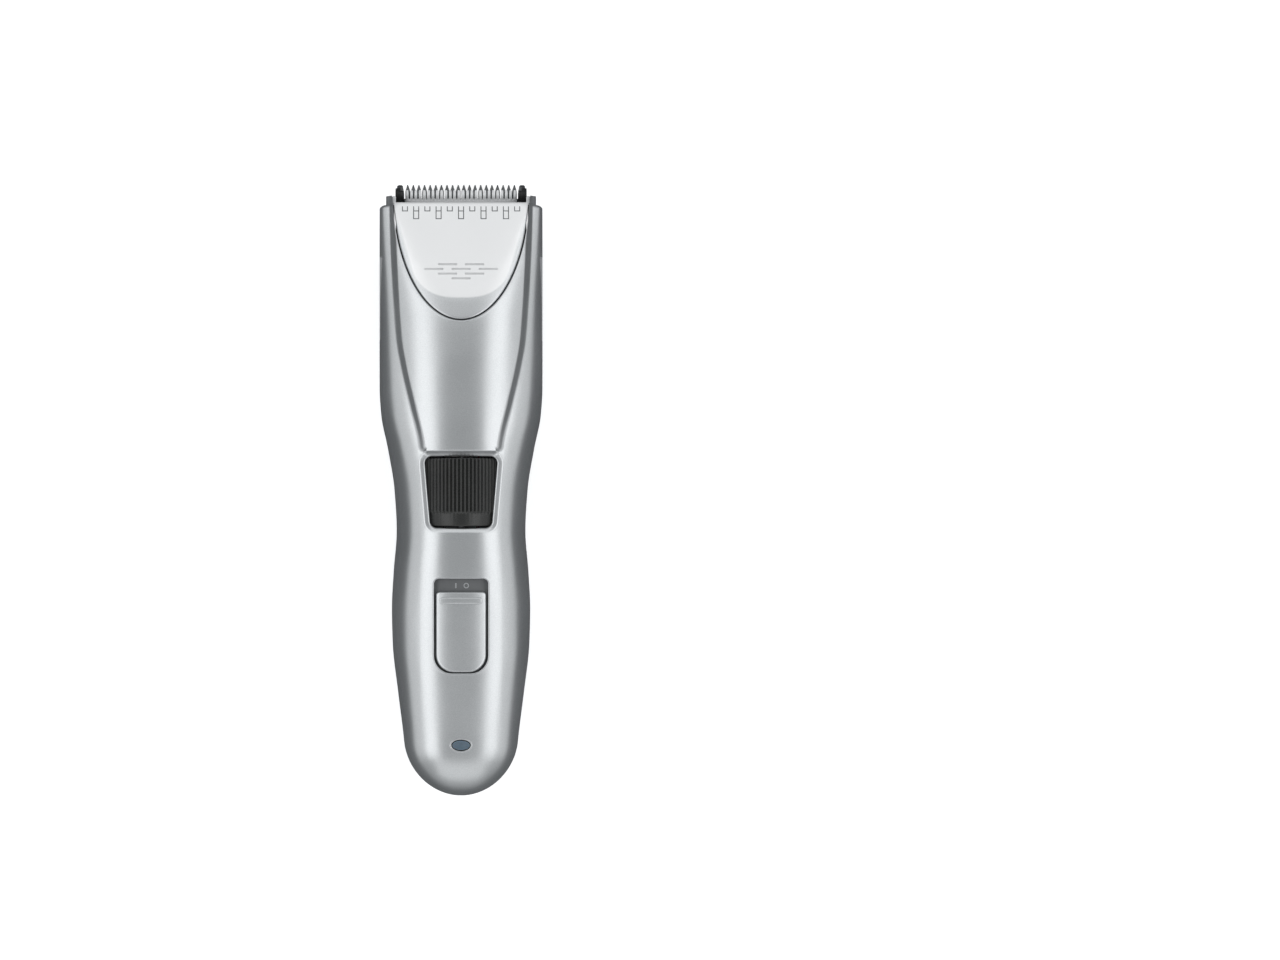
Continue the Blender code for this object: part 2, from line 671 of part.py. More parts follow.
def build_power_pack():
    rear = TAIL + BATTERY_INSET
    front = rear + BATTERY_LENGTH
    z = WALL + 2.5 * GAP + BATTERY_R
    cell = [(0, front), (2.6 * mm, front), (2.6 * mm, front - 1 * mm), (BATTERY_R, front - 1.2 * mm),
            (BATTERY_R, rear), (0, rear)]
    battery = turned_along_y("battery", cell, (0, 0, z), 28)
    finish(battery, BATTERY_WRAP)
    for name, y in (("battery_contact_rear", rear - 1.1 * mm), ("battery_contact_front", front + GAP)):
        contact = box(name, (-4 * mm, y, z - 4 * mm), (4 * mm, y + 0.8 * mm, CHASSIS_HEIGHT - GAP))
        finish(contact, STEEL)
    board_back = TAIL + BATTERY_INSET - 1 * mm
    width, length, thick = BOARD_SIZE
    board = box("circuit_board", (-width / 2, board_back, BOARD_LOW),
                (width / 2, board_back + length, BOARD_LOW + thick))
    notch = AXLE_LUG[0] / 2 + GAP
    cut(board, box("lug_notch", (-notch, AXLE_LUG_BACK - GAP, BOARD_LOW - WALL),
                   (notch, DIAL_BACK, BOARD_LOW + 2 * WALL)))
    finish(board, BOARD_GREEN)
    top = BOARD_LOW + thick + GAP
    chip = box("control_chip", (-3 * mm, board_back + 42 * mm, top),
               (3 * mm, board_back + 48 * mm, top + 1.2 * mm))
    finish(chip, BLACK_PLASTIC)
    switch = box("slide_switch", (-4.5 * mm, BUTTON_Y - 3 * mm, top),
                 (4.5 * mm, BUTTON_Y + 3 * mm, STEM_LOW - GAP))
    finish(switch, STEEL)
    led_y = TAIL + LENS_INSET + 3.6 * mm
    led = rod("indicator_led", (0, led_y, top), (0, led_y, top + 1.8 * mm), 1.5 * mm, 16)
    finish(led, LENS)


def build_motor():
    width, length, height = MOTOR_SIZE
    low = MOTOR_HEIGHT - height / 2
    can = box("motor_can", (-width / 2, MOTOR_FRONT - length, low), (width / 2, MOTOR_FRONT, low + height))
    bevel = can.modifiers.new("round_sides", "BEVEL")
    bevel.width = 2.5 * mm
    bevel.segments = 3
    finish(can, STEEL)
    back = MOTOR_FRONT - length - GAP
    cap = rod("motor_end_cap", (0, back - 2 * mm, MOTOR_HEIGHT), (0, back, MOTOR_HEIGHT),
              height / 2 - 1 * mm, 28)
    finish(cap, BLACK_PLASTIC)
    bush = turned_along_y("motor_bush", ring_profile(SHAFT_R + GAP, 3 * mm, MOTOR_FRONT + GAP,
                                                     MOTOR_FRONT + 2.3 * mm),
                          (0, 0, MOTOR_HEIGHT), 24)
    finish(bush, BRASS)
    for side, label in ((-1, "left"), (1, "right")):
        x = side * LEAD_X
        run = rounded_run([(x, back - 2.4 * mm, MOTOR_HEIGHT - 2 * mm), (x, back - 5 * mm, 7 * mm),
                           (x, LEAD_Y, 7 * mm), (x, LEAD_Y, BOARD_LOW - GAP)], 3)
        finish(wire(f"motor_lead_{label}", run, LEAD_R), RED_WIRE if side > 0 else BLACK_PLASTIC)


def ring_profile(inner, outer, back, front):
    return [(outer, front), (outer, back), (inner, back), (inner, front)]


def build_bulkhead():
    """The wall that keeps hair out of the motor, with the slider's guides and the seal around the shaft."""
    back = COVER_BACK - 0.6 * mm
    front = back + 1.4 * mm
    hole_r = 3.3 * mm
    floor = back_height(0, front) + WALL + 2 * GAP
    outline = rounded_trapezoid(28 * mm, 20 * mm, floor, 27 * mm, 3 * mm, 5 * mm)
    plate = front_prism("head_bulkhead", outline, back, front)
    cut(plate, rod("seal_hole", (0, back - WALL, MOTOR_HEIGHT), (0, front + WALL, MOTOR_HEIGHT), hole_r))
    inside = SLIDER_X - GAP
    guide_low, guide_high = SLIDER_Z - 1.5 * mm, SLIDER_Z + SLIDER_ARM[1] + 1.0 * mm
    guide_front = LUG_BACK + LUG_LENGTH + COMB_TRAVEL + 1 * mm
    for side in (-1, 1):
        guide = [(10 * mm, back + 0.1 * mm), (inside, back + 0.1 * mm), (inside, guide_front),
                 (inside - 1.1 * mm, guide_front), (inside - 1.1 * mm, front - 0.1 * mm),
                 (10 * mm, front - 0.1 * mm)]
        join(plate, prism("slider_guide", [(side * x, y) for x, y in guide], guide_low, guide_high))
    finish(plate, DARK_PLASTIC)
    seal = turned_along_y("shaft_seal", ring_profile(SHAFT_R + GAP, hole_r - GAP, back - 0.2 * mm,
                                                     front + 0.2 * mm),
                          (0, 0, MOTOR_HEIGHT), 24)
    finish(seal, RUBBER)


def build_charging_jack():
    back = TAIL + 2 * WALL
    front = back + JACK_LENGTH
    floor = front - 2 * mm
    outline = [(JACK_R, front), (JACK_R, back), (JACK_HOLE_R, back), (JACK_HOLE_R, floor), (0, floor),
               (0, front)]
    jack = turned_along_y("charging_jack", outline, (0, 0, JACK_HEIGHT), 24)
    finish(jack, BLACK_PLASTIC)
    pin = rod("jack_pin", (0, back + 1 * mm, JACK_HEIGHT), (0, floor - GAP, JACK_HEIGHT), 0.6 * mm, 12)
    finish(pin, BRASS)
    seal = turned_along_y("jack_seal", ring_profile(JACK_HOLE_R, 2.4 * mm, back - 1.3 * mm, back - GAP),
                          (0, 0, JACK_HEIGHT), 24)
    finish(seal, RUBBER)


def build_lens():
    lens = prism("indicator_lens", ellipse(*LENS_SIZE, TAIL + LENS_INSET), CHASSIS_HEIGHT, BODY_HEIGHT)
    keep(lens, form_solid("lens_top", TAIL, PANEL_END, 0.05 * mm))
    cut(lens, form_solid("lens_bottom", TAIL, PANEL_END, WALL - GAP))
    finish(lens, LENS)


def build_dial_fittings():
    axle = rod("dial_axle", (0, DIAL_BACK - 4.2 * mm, DIAL_Z), (0, DRUM_FRONT + 3.4 * mm, DIAL_Z), AXLE_R,
               20)
    finish(axle, STEEL)
    y = DIAL_BACK - 1 * mm
    reach = DIAL_R - 4.5 * mm
    low = CHASSIS_HEIGHT + CHASSIS_THICK + GAP
    run = [(reach * math.sin(a), y, max(DIAL_Z + reach * math.cos(a), low + 0.4 * mm))
           for a in (math.radians(-100 + 10 * k) for k in range(21))]
    finish(wire("dial_detent_spring", run, 0.35 * mm), STEEL)


# ---------------------------------------------------------------- power switch

def switch_outline(size, front_radius, back_radius, start):
    return rounded_trapezoid(size[0], size[0], start, start + size[1], front_radius, back_radius)


def build_switch(joint):
    plate_outline = switch_outline((SWITCH_SIZE[0] + 2.4 * mm, SWITCH_SIZE[1] + 2.4 * mm), 2 * mm, 6 * mm,
                                   SWITCH_START - 1.2 * mm)
    plate = prism("switch_plate", plate_outline, CHASSIS_HEIGHT, BODY_HEIGHT)
    keep(plate, form_solid("plate_top", TAIL, PANEL_END, WALL + GAP))
    cut(plate, form_solid("plate_bottom", TAIL, PANEL_END, WALL + GAP + PLATE_THICK))
    travel = SWITCH_SIZE[1] - BUTTON_SIZE[1] - GAP
    stem_half = (1.5 * mm, 2 * mm)
    slot = box("stem_slot", (-stem_half[0] - GAP, BUTTON_Y - stem_half[1] - GAP, CHASSIS_HEIGHT),
               (stem_half[0] + GAP, BUTTON_Y + stem_half[1] + travel + GAP, BODY_HEIGHT))
    finish(cut(plate, slot), GREY_PLASTIC)

    button = prism("switch_button", switch_outline(BUTTON_SIZE, 1 * mm, 5 * mm, SWITCH_START + GAP),
                   CHASSIS_HEIGHT, BODY_HEIGHT * 1.1)
    keep(button, form_solid("button_top", TAIL, PANEL_END, -BUTTON_RISE))
    cut(button, form_solid("button_bottom", TAIL, PANEL_END, WALL - GAP / 2))
    ridge_y = SWITCH_START + GAP + BUTTON_SIZE[1] - 2.5 * mm
    ridge_z = front_height(0, ridge_y)
    ridge = rod("thumb_ridge", (-RIDGE[0] / 2, ridge_y, ridge_z), (RIDGE[0] / 2, ridge_y, ridge_z),
                RIDGE[1] / 2, 16)
    finish(join(button, ridge), SILVER, joint)
    stem = box("switch_stem", (-stem_half[0], BUTTON_Y - stem_half[1], STEM_LOW),
               (stem_half[0], BUTTON_Y + stem_half[1],
                front_height(0, BUTTON_Y - stem_half[1], WALL + GAP)))
    finish(stem, BLACK_PLASTIC, joint)


# ---------------------------------------------------------------- length dial and comb slider

def build_dial(joint):
    rib_back = DIAL_BACK + SMOOTH_BAND
    samples = DIAL_RIBS * 3
    outline = []
    for k in range(samples):
        a = 2 * math.pi * k / samples
        r = DIAL_R - RIB_DEPTH * (1 - math.cos(DIAL_RIBS * a)) / 2
        outline.append((r * math.sin(a), -r * math.cos(a)))
    # The outline is drawn in X and -Z and its thickness runs along Y.
    along_y = Matrix.Translation((0, 0, DIAL_Z)) @ Matrix.Rotation(math.radians(-90), 4, "X")
    dial = prism("length_dial", outline, rib_back, DIAL_FRONT, along_y)
    band = rod("smooth_band", (0, DIAL_BACK, DIAL_Z), (0, rib_back + 0.5 * mm, DIAL_Z), DIAL_R - RIB_DEPTH,
               60)
    bore = rod("dial_bore", (0, DIAL_BACK - WALL, DIAL_Z), (0, DIAL_FRONT + WALL, DIAL_Z), AXLE_R + GAP / 2)
    finish(cut(join(dial, band), bore), BLACK_PLASTIC, joint)

    drum = rod("dial_cam_drum", (0, DRUM_BACK, DIAL_Z), (0, DRUM_FRONT, DIAL_Z), DRUM_R, 32)
    drum_bore = rod("drum_bore", (0, DRUM_BACK - WALL, DIAL_Z), (0, DRUM_FRONT + WALL, DIAL_Z),
                    AXLE_R + GAP / 2)
    finish(cut(drum, groove_cutter(), drum_bore), WHITE_PLASTIC, joint)


def groove_cutter():
    """A ribbon of rectangles along the helix that the follower pin traces as the dial turns."""
    floor = DRUM_R - GROOVE_DEPTH
    lead = COMB_TRAVEL / DIAL_TURN
    half = (PIN_R + GAP) / math.cos(math.atan(lead / floor))
    extra = math.asin((PIN_R + GAP) / floor)
    shape = bmesh.new()
    rings = []
    steps = 34
    for k in range(steps + 1):
        turn = -extra + (DIAL_TURN + 2 * extra) * k / steps
        y = PIN_START_Y + lead * turn
        out = Vector((math.sin(-turn), 0, math.cos(-turn)))
        centre = Vector((0, y, DIAL_Z))
        corners = ((floor, -half), (DRUM_R + WALL, -half), (DRUM_R + WALL, half), (floor, half))
        rings.append([shape.verts.new(centre + out * r + Vector((0, dy, 0))) for r, dy in corners])
    skin(shape, rings, True)
    shape.faces.new(rings[0])
    shape.faces.new(rings[-1])
    return from_bmesh("cam_groove", shape)


def build_comb_slider(joint):
    """A bridge over the drum, with an arm and an outer lug along each flank."""
    thick, height = SLIDER_ARM
    bridge_low = DIAL_Z + DRUM_R + 1.1 * mm
    bridge_high = bridge_low + 1.6 * mm
    back = PIN_START_Y - 3.4 * mm
    out, into = 12.5 * mm, 11 * mm
    foot = SLIDER_X + thick / 2
    foot_low, foot_high = SLIDER_Z + 0.2 * mm, SLIDER_Z + 1.6 * mm
    right = [(out - BRIDGE_CORNER, bridge_high), (out, bridge_high - BRIDGE_CORNER), (out, foot_high),
             (foot, foot_high), (foot, foot_low), (into, foot_low), (into, bridge_low - BRIDGE_CORNER),
             (into - BRIDGE_CORNER, bridge_low)]
    outline = right + [(-x, z) for x, z in reversed(right)]
    slider = front_prism("comb_slider", outline, back, back + 6 * mm)
    front = LUG_BACK + LUG_LENGTH
    lug = BODY_WIDTH / 2 - 0.4 * mm
    start = back - 0.3 * mm
    for side in (-1, 1):
        arm = [(SLIDER_X, start), (SLIDER_X + thick, start), (SLIDER_X + thick, LUG_BACK), (lug, LUG_BACK),
               (lug, front), (SLIDER_X, front)]
        join(slider, prism("slider_arm", [(side * x, y) for x, y in arm], SLIDER_Z, SLIDER_Z + height))
    finish(slider, BLACK_PLASTIC, joint)
    pin = rod("follower_pin", (0, PIN_START_Y, DIAL_Z + DRUM_R - GROOVE_DEPTH + GAP),
              (0, PIN_START_Y, bridge_low - GAP),
              PIN_R, 16)
    finish(pin, STEEL, joint)


# ---------------------------------------------------------------- drive

def build_drive(joint):
    shaft = rod("motor_shaft", (0, MOTOR_FRONT + GAP, MOTOR_HEIGHT), (0, CAM_BACK + 3 * mm, MOTOR_HEIGHT),
                SHAFT_R, 16)
    finish(shaft, STEEL, joint)
    bore = SHAFT_R + GAP / 2
    cam_front = CAM_BACK + CAM_LENGTH
    outline = [(CAM_R, cam_front), (CAM_R, CAM_BACK), (bore, CAM_BACK), (bore, CAM_BACK + 3.5 * mm),
               (0, CAM_BACK + 3.5 * mm), (0, cam_front)]
    cam = turned_along_y("eccentric_cam", outline, (0, 0, MOTOR_HEIGHT), 28)
    finish(cam, WHITE_PLASTIC, joint)
    pin = rod("drive_pin", (PIN_OFFSET, cam_front + GAP, MOTOR_HEIGHT),
              (PIN_OFFSET, PIN_FRONT, MOTOR_HEIGHT), PIN_R, 16)
    finish(pin, STEEL, joint)


# ---------------------------------------------------------------- head

def toothed_outline(width, back, front, count, pitch, slot):
    """A plate's outline whose front edge has this many slots of (width, depth)."""
    points = [(width / 2, back), (width / 2, front)]
    for k in range(count):
        x = (count - 1) / 2 * pitch - k * pitch
        points += [(x + slot[0] / 2, front), (x + slot[0] / 2, front - slot[1]),
                   (x - slot[0] / 2, front - slot[1]), (x - slot[0] / 2, front)]
    return points + [(-width / 2, front), (-width / 2, back)]


def blade_screw_places():
    return [(-BLADE_SCREW_X, -BLADE_SCREW_BACK), (BLADE_SCREW_X, -BLADE_SCREW_BACK)]


def build_head_cover(joint):
    cover = form_solid("head_cover", COVER_BACK - WALL, COVER_FRONT, 0)
    outline = prism("cover_outline", cover_outline(-GAP / 2, TIP), PARTING_HEIGHT - WALL, BODY_HEIGHT * 1.2)
    arms_end = LUG_BACK + LUG_LENGTH + COMB_TRAVEL + 2 * mm
    arms_top = SLIDER_Z + SLIDER_ARM[1] + 1.5 * mm
    above = BODY_HEIGHT * 1.2
    side = side_prism("cover_side", [(COVER_BACK - WALL, BODY_HEIGHT * 0.8), (arms_end, arms_top),
                                     (TIP, TIP_HEIGHT + 4.5 * mm), (TIP, above),
                                     (COVER_BACK - WALL, above)],
                      BODY_WIDTH)
    core = form_solid("cover_core", COVER_BACK - WALL, TIP - POST_END, COVER_WALL)
    keep(core, prism("core_outline", cover_outline(-GAP / 2 - COVER_WALL, TIP), PARTING_HEIGHT - WALL,
                     above))
    finish(cut(keep(cover, outline, side), core), PALE_SILVER, joint)


def build_blade_frame(joint):
    low = FIXED_THICK + GAP
    high = low + FRAME_THICK
    half = FRAME_WIDTH / 2
    moving_back = -MOVING_RECESS - MOVING_DEPTH
    back = -BLADE_DEPTH - 3.5 * mm
    inner = MOVING_WIDTH / 2 + STROKE + 2 * GAP
    bar_front, cheek_front = moving_back - 2 * GAP, -0.2 * mm
    outline = [(half, back), (half, cheek_front), (inner, cheek_front), (inner, bar_front),
               (-inner, bar_front), (-inner, cheek_front), (-half, cheek_front), (-half, back)]
    frame = prism("blade_frame", outline, low, high, BLADE_FRAME)
    edge = 0.1 * mm
    join(frame, box("heel_bar", (edge - half, back + edge, -0.2 * mm),
                    (half - edge, -BLADE_DEPTH - GAP, low + GAP),
                    BLADE_FRAME))
    block_low = FIXED_THICK + MOVING_THICK + 2 * GAP
    for side in (-1, 1):
        block = sorted((side * (half - END_BLOCK), side * (half - edge)))
        join(frame, box("end_block", (block[0], -7 * mm, block_low),
                        (block[1], cheek_front - edge, high - edge),
                        BLADE_FRAME))
    cut(frame, *(rod("frame_bore", (x, y, 0), (x, y, high - 2 * GAP), BLADE_SCREW_R + GAP, 12, BLADE_FRAME)
                 for x, y in blade_screw_places()))
    finish(frame, BLACK_PLASTIC, joint)


def build_fixed_blade(joint):
    outline = toothed_outline(BLADE_WIDTH, -BLADE_DEPTH, 0, FIXED_SLOTS, FIXED_PITCH, FIXED_SLOT)
    blade = prism("fixed_blade", outline, 0, FIXED_THICK, BLADE_FRAME)
    for number, (x, y) in enumerate(blade_screw_places()):
        head_top = 1.0 * mm
        cut(blade,
            rod("blade_hole", (x, y, -WALL), (x, y, WALL * 2), BLADE_SCREW_R + GAP, 12, BLADE_FRAME),
            rod("blade_sink", (x, y, -WALL), (x, y, head_top + GAP / 2), 2 * BLADE_SCREW_R + GAP, 16,
                BLADE_FRAME))
        screw = rod(("blade_screw_left", "blade_screw_right")[number], (x, y, 0.1 * mm), (x, y, head_top),
                    2 * BLADE_SCREW_R, 16, BLADE_FRAME)
        join(screw, rod("blade_shank", (x, y, 0.5 * mm), (x, y, FIXED_THICK + FRAME_THICK - 2 * GAP),
                        BLADE_SCREW_R, 12,
                        BLADE_FRAME))
        finish(screw, STEEL, joint)
    finish(blade, BLADE_STEEL, joint)


def build_blade_spring(joint):
    """A bent wire that presses the moving blade on the fixed one."""
    z = carrier_top() + GAP + 0.4 * mm
    x = CARRIER_HALF + STROKE + 1 * mm
    foot_z = FIXED_THICK + FRAME_THICK + 2 * GAP + 0.4 * mm
    corners = [(-x, -17 * mm, foot_z), (-x, -8 * mm, z), (x, -8 * mm, z), (x, -17 * mm, foot_z)]
    run = [BLADE_FRAME @ point for point in rounded_run(corners)]
    finish(wire("blade_spring", run, 0.35 * mm), STEEL, joint)


def carrier_top():
    return FIXED_THICK + MOVING_THICK + 2 * GAP + 1.8 * mm


def build_moving_blade(joint):
    low = FIXED_THICK + GAP
    outline = toothed_outline(MOVING_WIDTH, -MOVING_RECESS - MOVING_DEPTH, -MOVING_RECESS, MOVING_SLOTS,
                              MOVING_PITCH,
                              MOVING_SLOT)
    finish(prism("moving_blade", outline, low, low + MOVING_THICK, BLADE_FRAME), BRIGHT_STEEL, joint)


def build_blade_carrier(joint):
    """A bar on the moving blade, with an arm back to a fork that straddles the drive pin."""
    bar_low = FIXED_THICK + MOVING_THICK + 2 * GAP
    carrier = box("blade_carrier", (-CARRIER_HALF, -11 * mm, bar_low),
                  (CARRIER_HALF, -6 * mm, carrier_top()),
                  BLADE_FRAME)
    arm_low = MOTOR_HEIGHT + 4.5 * mm
    arm_high = arm_low + 1.6 * mm
    fork_back = PIN_FRONT - FORK_LENGTH
    bar_y = (BLADE_FRAME @ Vector((0, -10.5 * mm, bar_low))).y
    arm = box("fork_arm", (-3 * mm, fork_back + 0.5 * mm, arm_low), (3 * mm, bar_y, arm_high))
    inner = PIN_R + 2 * PIN_OFFSET + GAP / 2
    outer = inner + 1.8 * mm
    floor = back_height(0, PIN_FRONT) + WALL
    low = max(MOTOR_HEIGHT - FORK_DROP, floor + 2 * GAP)
    roof = MOTOR_HEIGHT + PIN_R + PIN_OFFSET + 2 * GAP
    high = arm_low + 0.5 * mm
    outline = [(outer, low), (outer, high), (-outer, high), (-outer, low),
               (-inner, low), (-inner, roof), (inner, roof), (inner, low)]
    fork = front_prism("fork", outline, fork_back, PIN_FRONT)
    finish(join(carrier, arm, fork), WHITE_PLASTIC, joint)


# ---------------------------------------------------------------- the clipper

clear_scene()
PARTS = make_collection("hair_clipper")
CUTTERS = make_collection("cutters")

SILVER = make_material("silver_housing", (0.42, 0.44, 0.46), 0.32, 0.75)
PALE_SILVER = make_material("pale_silver_cover", (0.72, 0.73, 0.74), 0.38, 0.5)
BLACK_PLASTIC = make_material("black_plastic", (0.012, 0.012, 0.013), 0.38)
DARK_PLASTIC = make_material("dark_plastic", (0.04, 0.04, 0.045), 0.55)
GREY_PLASTIC = make_material("grey_plastic", (0.13, 0.135, 0.14), 0.45)
WHITE_PLASTIC = make_material("white_plastic", (0.75, 0.74, 0.7), 0.4)
STEEL = make_material("steel", (0.52, 0.53, 0.55), 0.28, 1.0)
BRIGHT_STEEL = make_material("bright_steel", (0.72, 0.73, 0.75), 0.18, 1.0)
BLADE_STEEL = make_material("blade_steel", (0.4, 0.41, 0.43), 0.25, 1.0)
BRASS = make_material("brass", (0.7, 0.5, 0.22), 0.3, 1.0)
RUBBER = make_material("rubber", (0.03, 0.03, 0.03), 0.8)
LENS = make_material("lens", (0.09, 0.12, 0.15), 0.15)
BATTERY_WRAP = make_material("battery_wrap", (0.05, 0.22, 0.1), 0.35)
BOARD_GREEN = make_material("board", (0.02, 0.14, 0.05), 0.4)
RED_WIRE = make_material("red_wire", (0.5, 0.02, 0.02), 0.45)

# Places that follow from the sizes above
DIAL_Z = BODY_HEIGHT * through(FRONT_LINE, share_of(DIAL_Y)) + DIAL_RISE - DIAL_R
DIAL_BACK = WINDOW_BACK + 0.4 * mm
DIAL_FRONT = WINDOW_FRONT - 0.4 * mm
AXLE_LUG_BACK = DIAL_BACK - 3.7 * mm
DRUM_BACK = DIAL_FRONT + GAP
PIN_START_Y = DRUM_BACK + 6 * mm
DRUM_FRONT = PIN_START_Y + COMB_TRAVEL + 4.1 * mm
SLIDER_Z = CHASSIS_HEIGHT + CHASSIS_THICK + 0.5 * mm
SLIDER_X = BODY_WIDTH / 2 - 7.7 * mm
LUG_BACK = PIN_START_Y - 3.4 * mm + SLIDER_LENGTH - LUG_LENGTH
SWITCH_START = DIAL_Y - SWITCH_BACK
BUTTON_Y = SWITCH_START + GAP + BUTTON_SIZE[1] / 2
STEM_LOW = CHASSIS_HEIGHT + CHASSIS_THICK + 8.4 * mm
BOARD_LOW = CHASSIS_HEIGHT + CHASSIS_THICK + 3.2 * mm
LEAD_Y = max(DIAL_BACK - 6.2 * mm, TAIL + BATTERY_INSET + BATTERY_LENGTH + 1.6 * mm)
BLADE_FRAME = Matrix.Translation((0, TIP, TIP_HEIGHT)) @ Matrix.Rotation(BLADE_TILT, 4, "X")
FRAME_BACK = BLADE_FRAME @ Vector((0, -BLADE_DEPTH - 3.5 * mm, FIXED_THICK + FRAME_THICK + GAP))
REAR_END = FRAME_BACK.y + 0.6 * mm

switch_joint = make_joint("switch_joint", (0, BUTTON_Y, front_height(0, BUTTON_Y)))
dial_joint = make_joint("dial_joint", (0, DIAL_Y, DIAL_Z))
slider_joint = make_joint("slider_joint", (0, PIN_START_Y, DIAL_Z + DRUM_R))
head_joint = make_joint("head_joint", (0, COVER_BACK, front_height(0, COVER_BACK)))
blade_joint = make_joint("blade_joint", (0, TIP - MOVING_DEPTH, TIP_HEIGHT))
drive_joint = make_joint("drive_joint", (0, CAM_BACK, MOTOR_HEIGHT))

build_front_shell()
build_rear_shell()
build_case_screws()
build_chassis()
build_power_pack()
build_motor()
build_bulkhead()
build_charging_jack()
build_lens()
build_dial_fittings()
build_switch(switch_joint)
build_dial(dial_joint)
build_comb_slider(slider_joint)
build_drive(drive_joint)
build_head_cover(head_joint)
build_blade_frame(head_joint)
build_fixed_blade(head_joint)
build_blade_spring(head_joint)
build_moving_blade(blade_joint)
build_blade_carrier(blade_joint)
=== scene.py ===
"""Looks for the cordless hair clipper, lying on its back on a pale floor and seen from straight above.

The visible pieces are drawn from the same body form as the CAD model, with finer steps, rounded edges and
procedural materials. Lengths are in metres. X is the width, Y runs from the tail to the blade, Z is up.
"""

import math

import bmesh
import bpy
from mathutils import Matrix, Vector


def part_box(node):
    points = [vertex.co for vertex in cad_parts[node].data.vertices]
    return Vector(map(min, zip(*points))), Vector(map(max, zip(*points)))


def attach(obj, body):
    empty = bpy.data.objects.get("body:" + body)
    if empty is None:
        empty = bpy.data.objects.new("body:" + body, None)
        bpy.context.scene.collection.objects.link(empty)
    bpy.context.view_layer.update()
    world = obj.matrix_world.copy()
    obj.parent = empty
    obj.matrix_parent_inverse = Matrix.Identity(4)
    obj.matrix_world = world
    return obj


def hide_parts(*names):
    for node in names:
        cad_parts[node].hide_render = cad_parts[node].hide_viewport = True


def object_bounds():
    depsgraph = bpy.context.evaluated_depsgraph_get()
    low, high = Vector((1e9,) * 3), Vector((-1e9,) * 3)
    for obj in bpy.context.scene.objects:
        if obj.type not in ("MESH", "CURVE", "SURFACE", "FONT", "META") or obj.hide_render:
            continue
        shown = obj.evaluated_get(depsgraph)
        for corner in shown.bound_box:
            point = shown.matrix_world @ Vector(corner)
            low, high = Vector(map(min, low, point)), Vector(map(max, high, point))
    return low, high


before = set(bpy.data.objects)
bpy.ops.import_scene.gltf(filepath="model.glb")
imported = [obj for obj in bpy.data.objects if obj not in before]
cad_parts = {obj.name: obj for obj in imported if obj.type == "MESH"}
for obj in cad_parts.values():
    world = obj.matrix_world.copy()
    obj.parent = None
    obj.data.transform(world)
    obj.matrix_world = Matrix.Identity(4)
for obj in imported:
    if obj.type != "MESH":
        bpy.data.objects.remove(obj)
CAD_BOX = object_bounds()

mm = 0.001

# The body form, as in the CAD model
BODY_WIDTH = CAD_BOX[1].x - CAD_BOX[0].x
BODY_HEIGHT = CAD_BOX[1].z - CAD_BOX[0].z
TAIL = CAD_BOX[0].y
TIP = CAD_BOX[1].y
PARTING_HEIGHT = 18 * mm
TAIL_ROUND = 16 * mm
FLAT_DEPTH = 0.4 * mm
PANEL_RAISE = 0.9 * mm
PANEL_CORNER = 2.2 * mm
CREASE = 0.8 * mm
CREASE_ROLL = 2.2 * mm
WALL = 2.0 * mm
GAP = 0.3 * mm
WIDTH_LINE = ((0, 0.65), (0.089, 0.7), (0.167, 0.771), (0.25, 0.84), (0.306, 0.85), (0.367, 0.828),
              (0.433, 0.791), (0.5, 0.818), (0.567, 0.898), (0.622, 0.98), (0.667, 1), (0.95, 1))
FRONT_LINE = ((0, 0.68), (0.083, 0.787), (0.167, 0.853), (0.25, 0.907), (0.306, 0.933), (0.39, 0.951),
              (0.567, 0.959), (0.694, 0.977), (0.75, 0.966), (0.8, 0.925), (0.86, 0.84), (0.92, 0.742),
              (0.98, 0.658))
BACK_LINE = ((0, 0.025), (0.083, 0.014), (0.156, 0), (0.622, 0), (0.722, 0.026), (0.79, 0.06),
             (0.845, 0.11), (0.9, 0.2), (0.95, 0.31))
CREASE_LINE = ((0.5, 0.49), (0.567, 0.517), (0.64, 0.637), (0.697, 0.737), (0.746, 0.8), (0.846, 0.85),
               (0.96, 0.885), (1, 0.89))
PANEL_SQUARE = ((0, 2.6), (0.5, 2.6), (0.62, 2.25), (0.78, 2.35), (0.97, 4.0))
WING_SQUARE = ((0, 2.6), (0.5, 2.6), (0.64, 2.8), (0.73, 3.2), (0.97, 4.0))
WING_SHARE = ((0, 1), (0.5, 1), (0.56, 0.97), (0.64, 0.9), (0.73, 0.83), (0.85, 0.8))
BACK_SQUARE = 3.0
COVER_HALF_WIDTH = 19.9 * mm
COVER_CENTRE = TIP - 2 * mm
COVER_BACK = TIP - 40.8 * mm
COVER_FRONT = TIP - 5.3 * mm
FACET_START = 34.7 * mm
FACET_HEIGHT = 36.9 * mm
FACET_SLOPE = 0.39
FACET_BLEND = 0.5 * mm
# The outline of the painted highlight on the head cover's flat face
SHIELD_BEND = TIP - 26 * mm
SHIELD_HALF = 14.2 * mm
SHIELD_FLARE = 0.3
SHIELD_ROUND = 8.4 * mm
WING_END = 7.4 * mm
POST_END = 3.6 * mm
POST_HALF_WIDTH = 22.1 * mm
BLADE_FRAME = Matrix.Translation((0, TIP, 18 * mm)) @ Matrix.Rotation(math.radians(30), 4, "X")

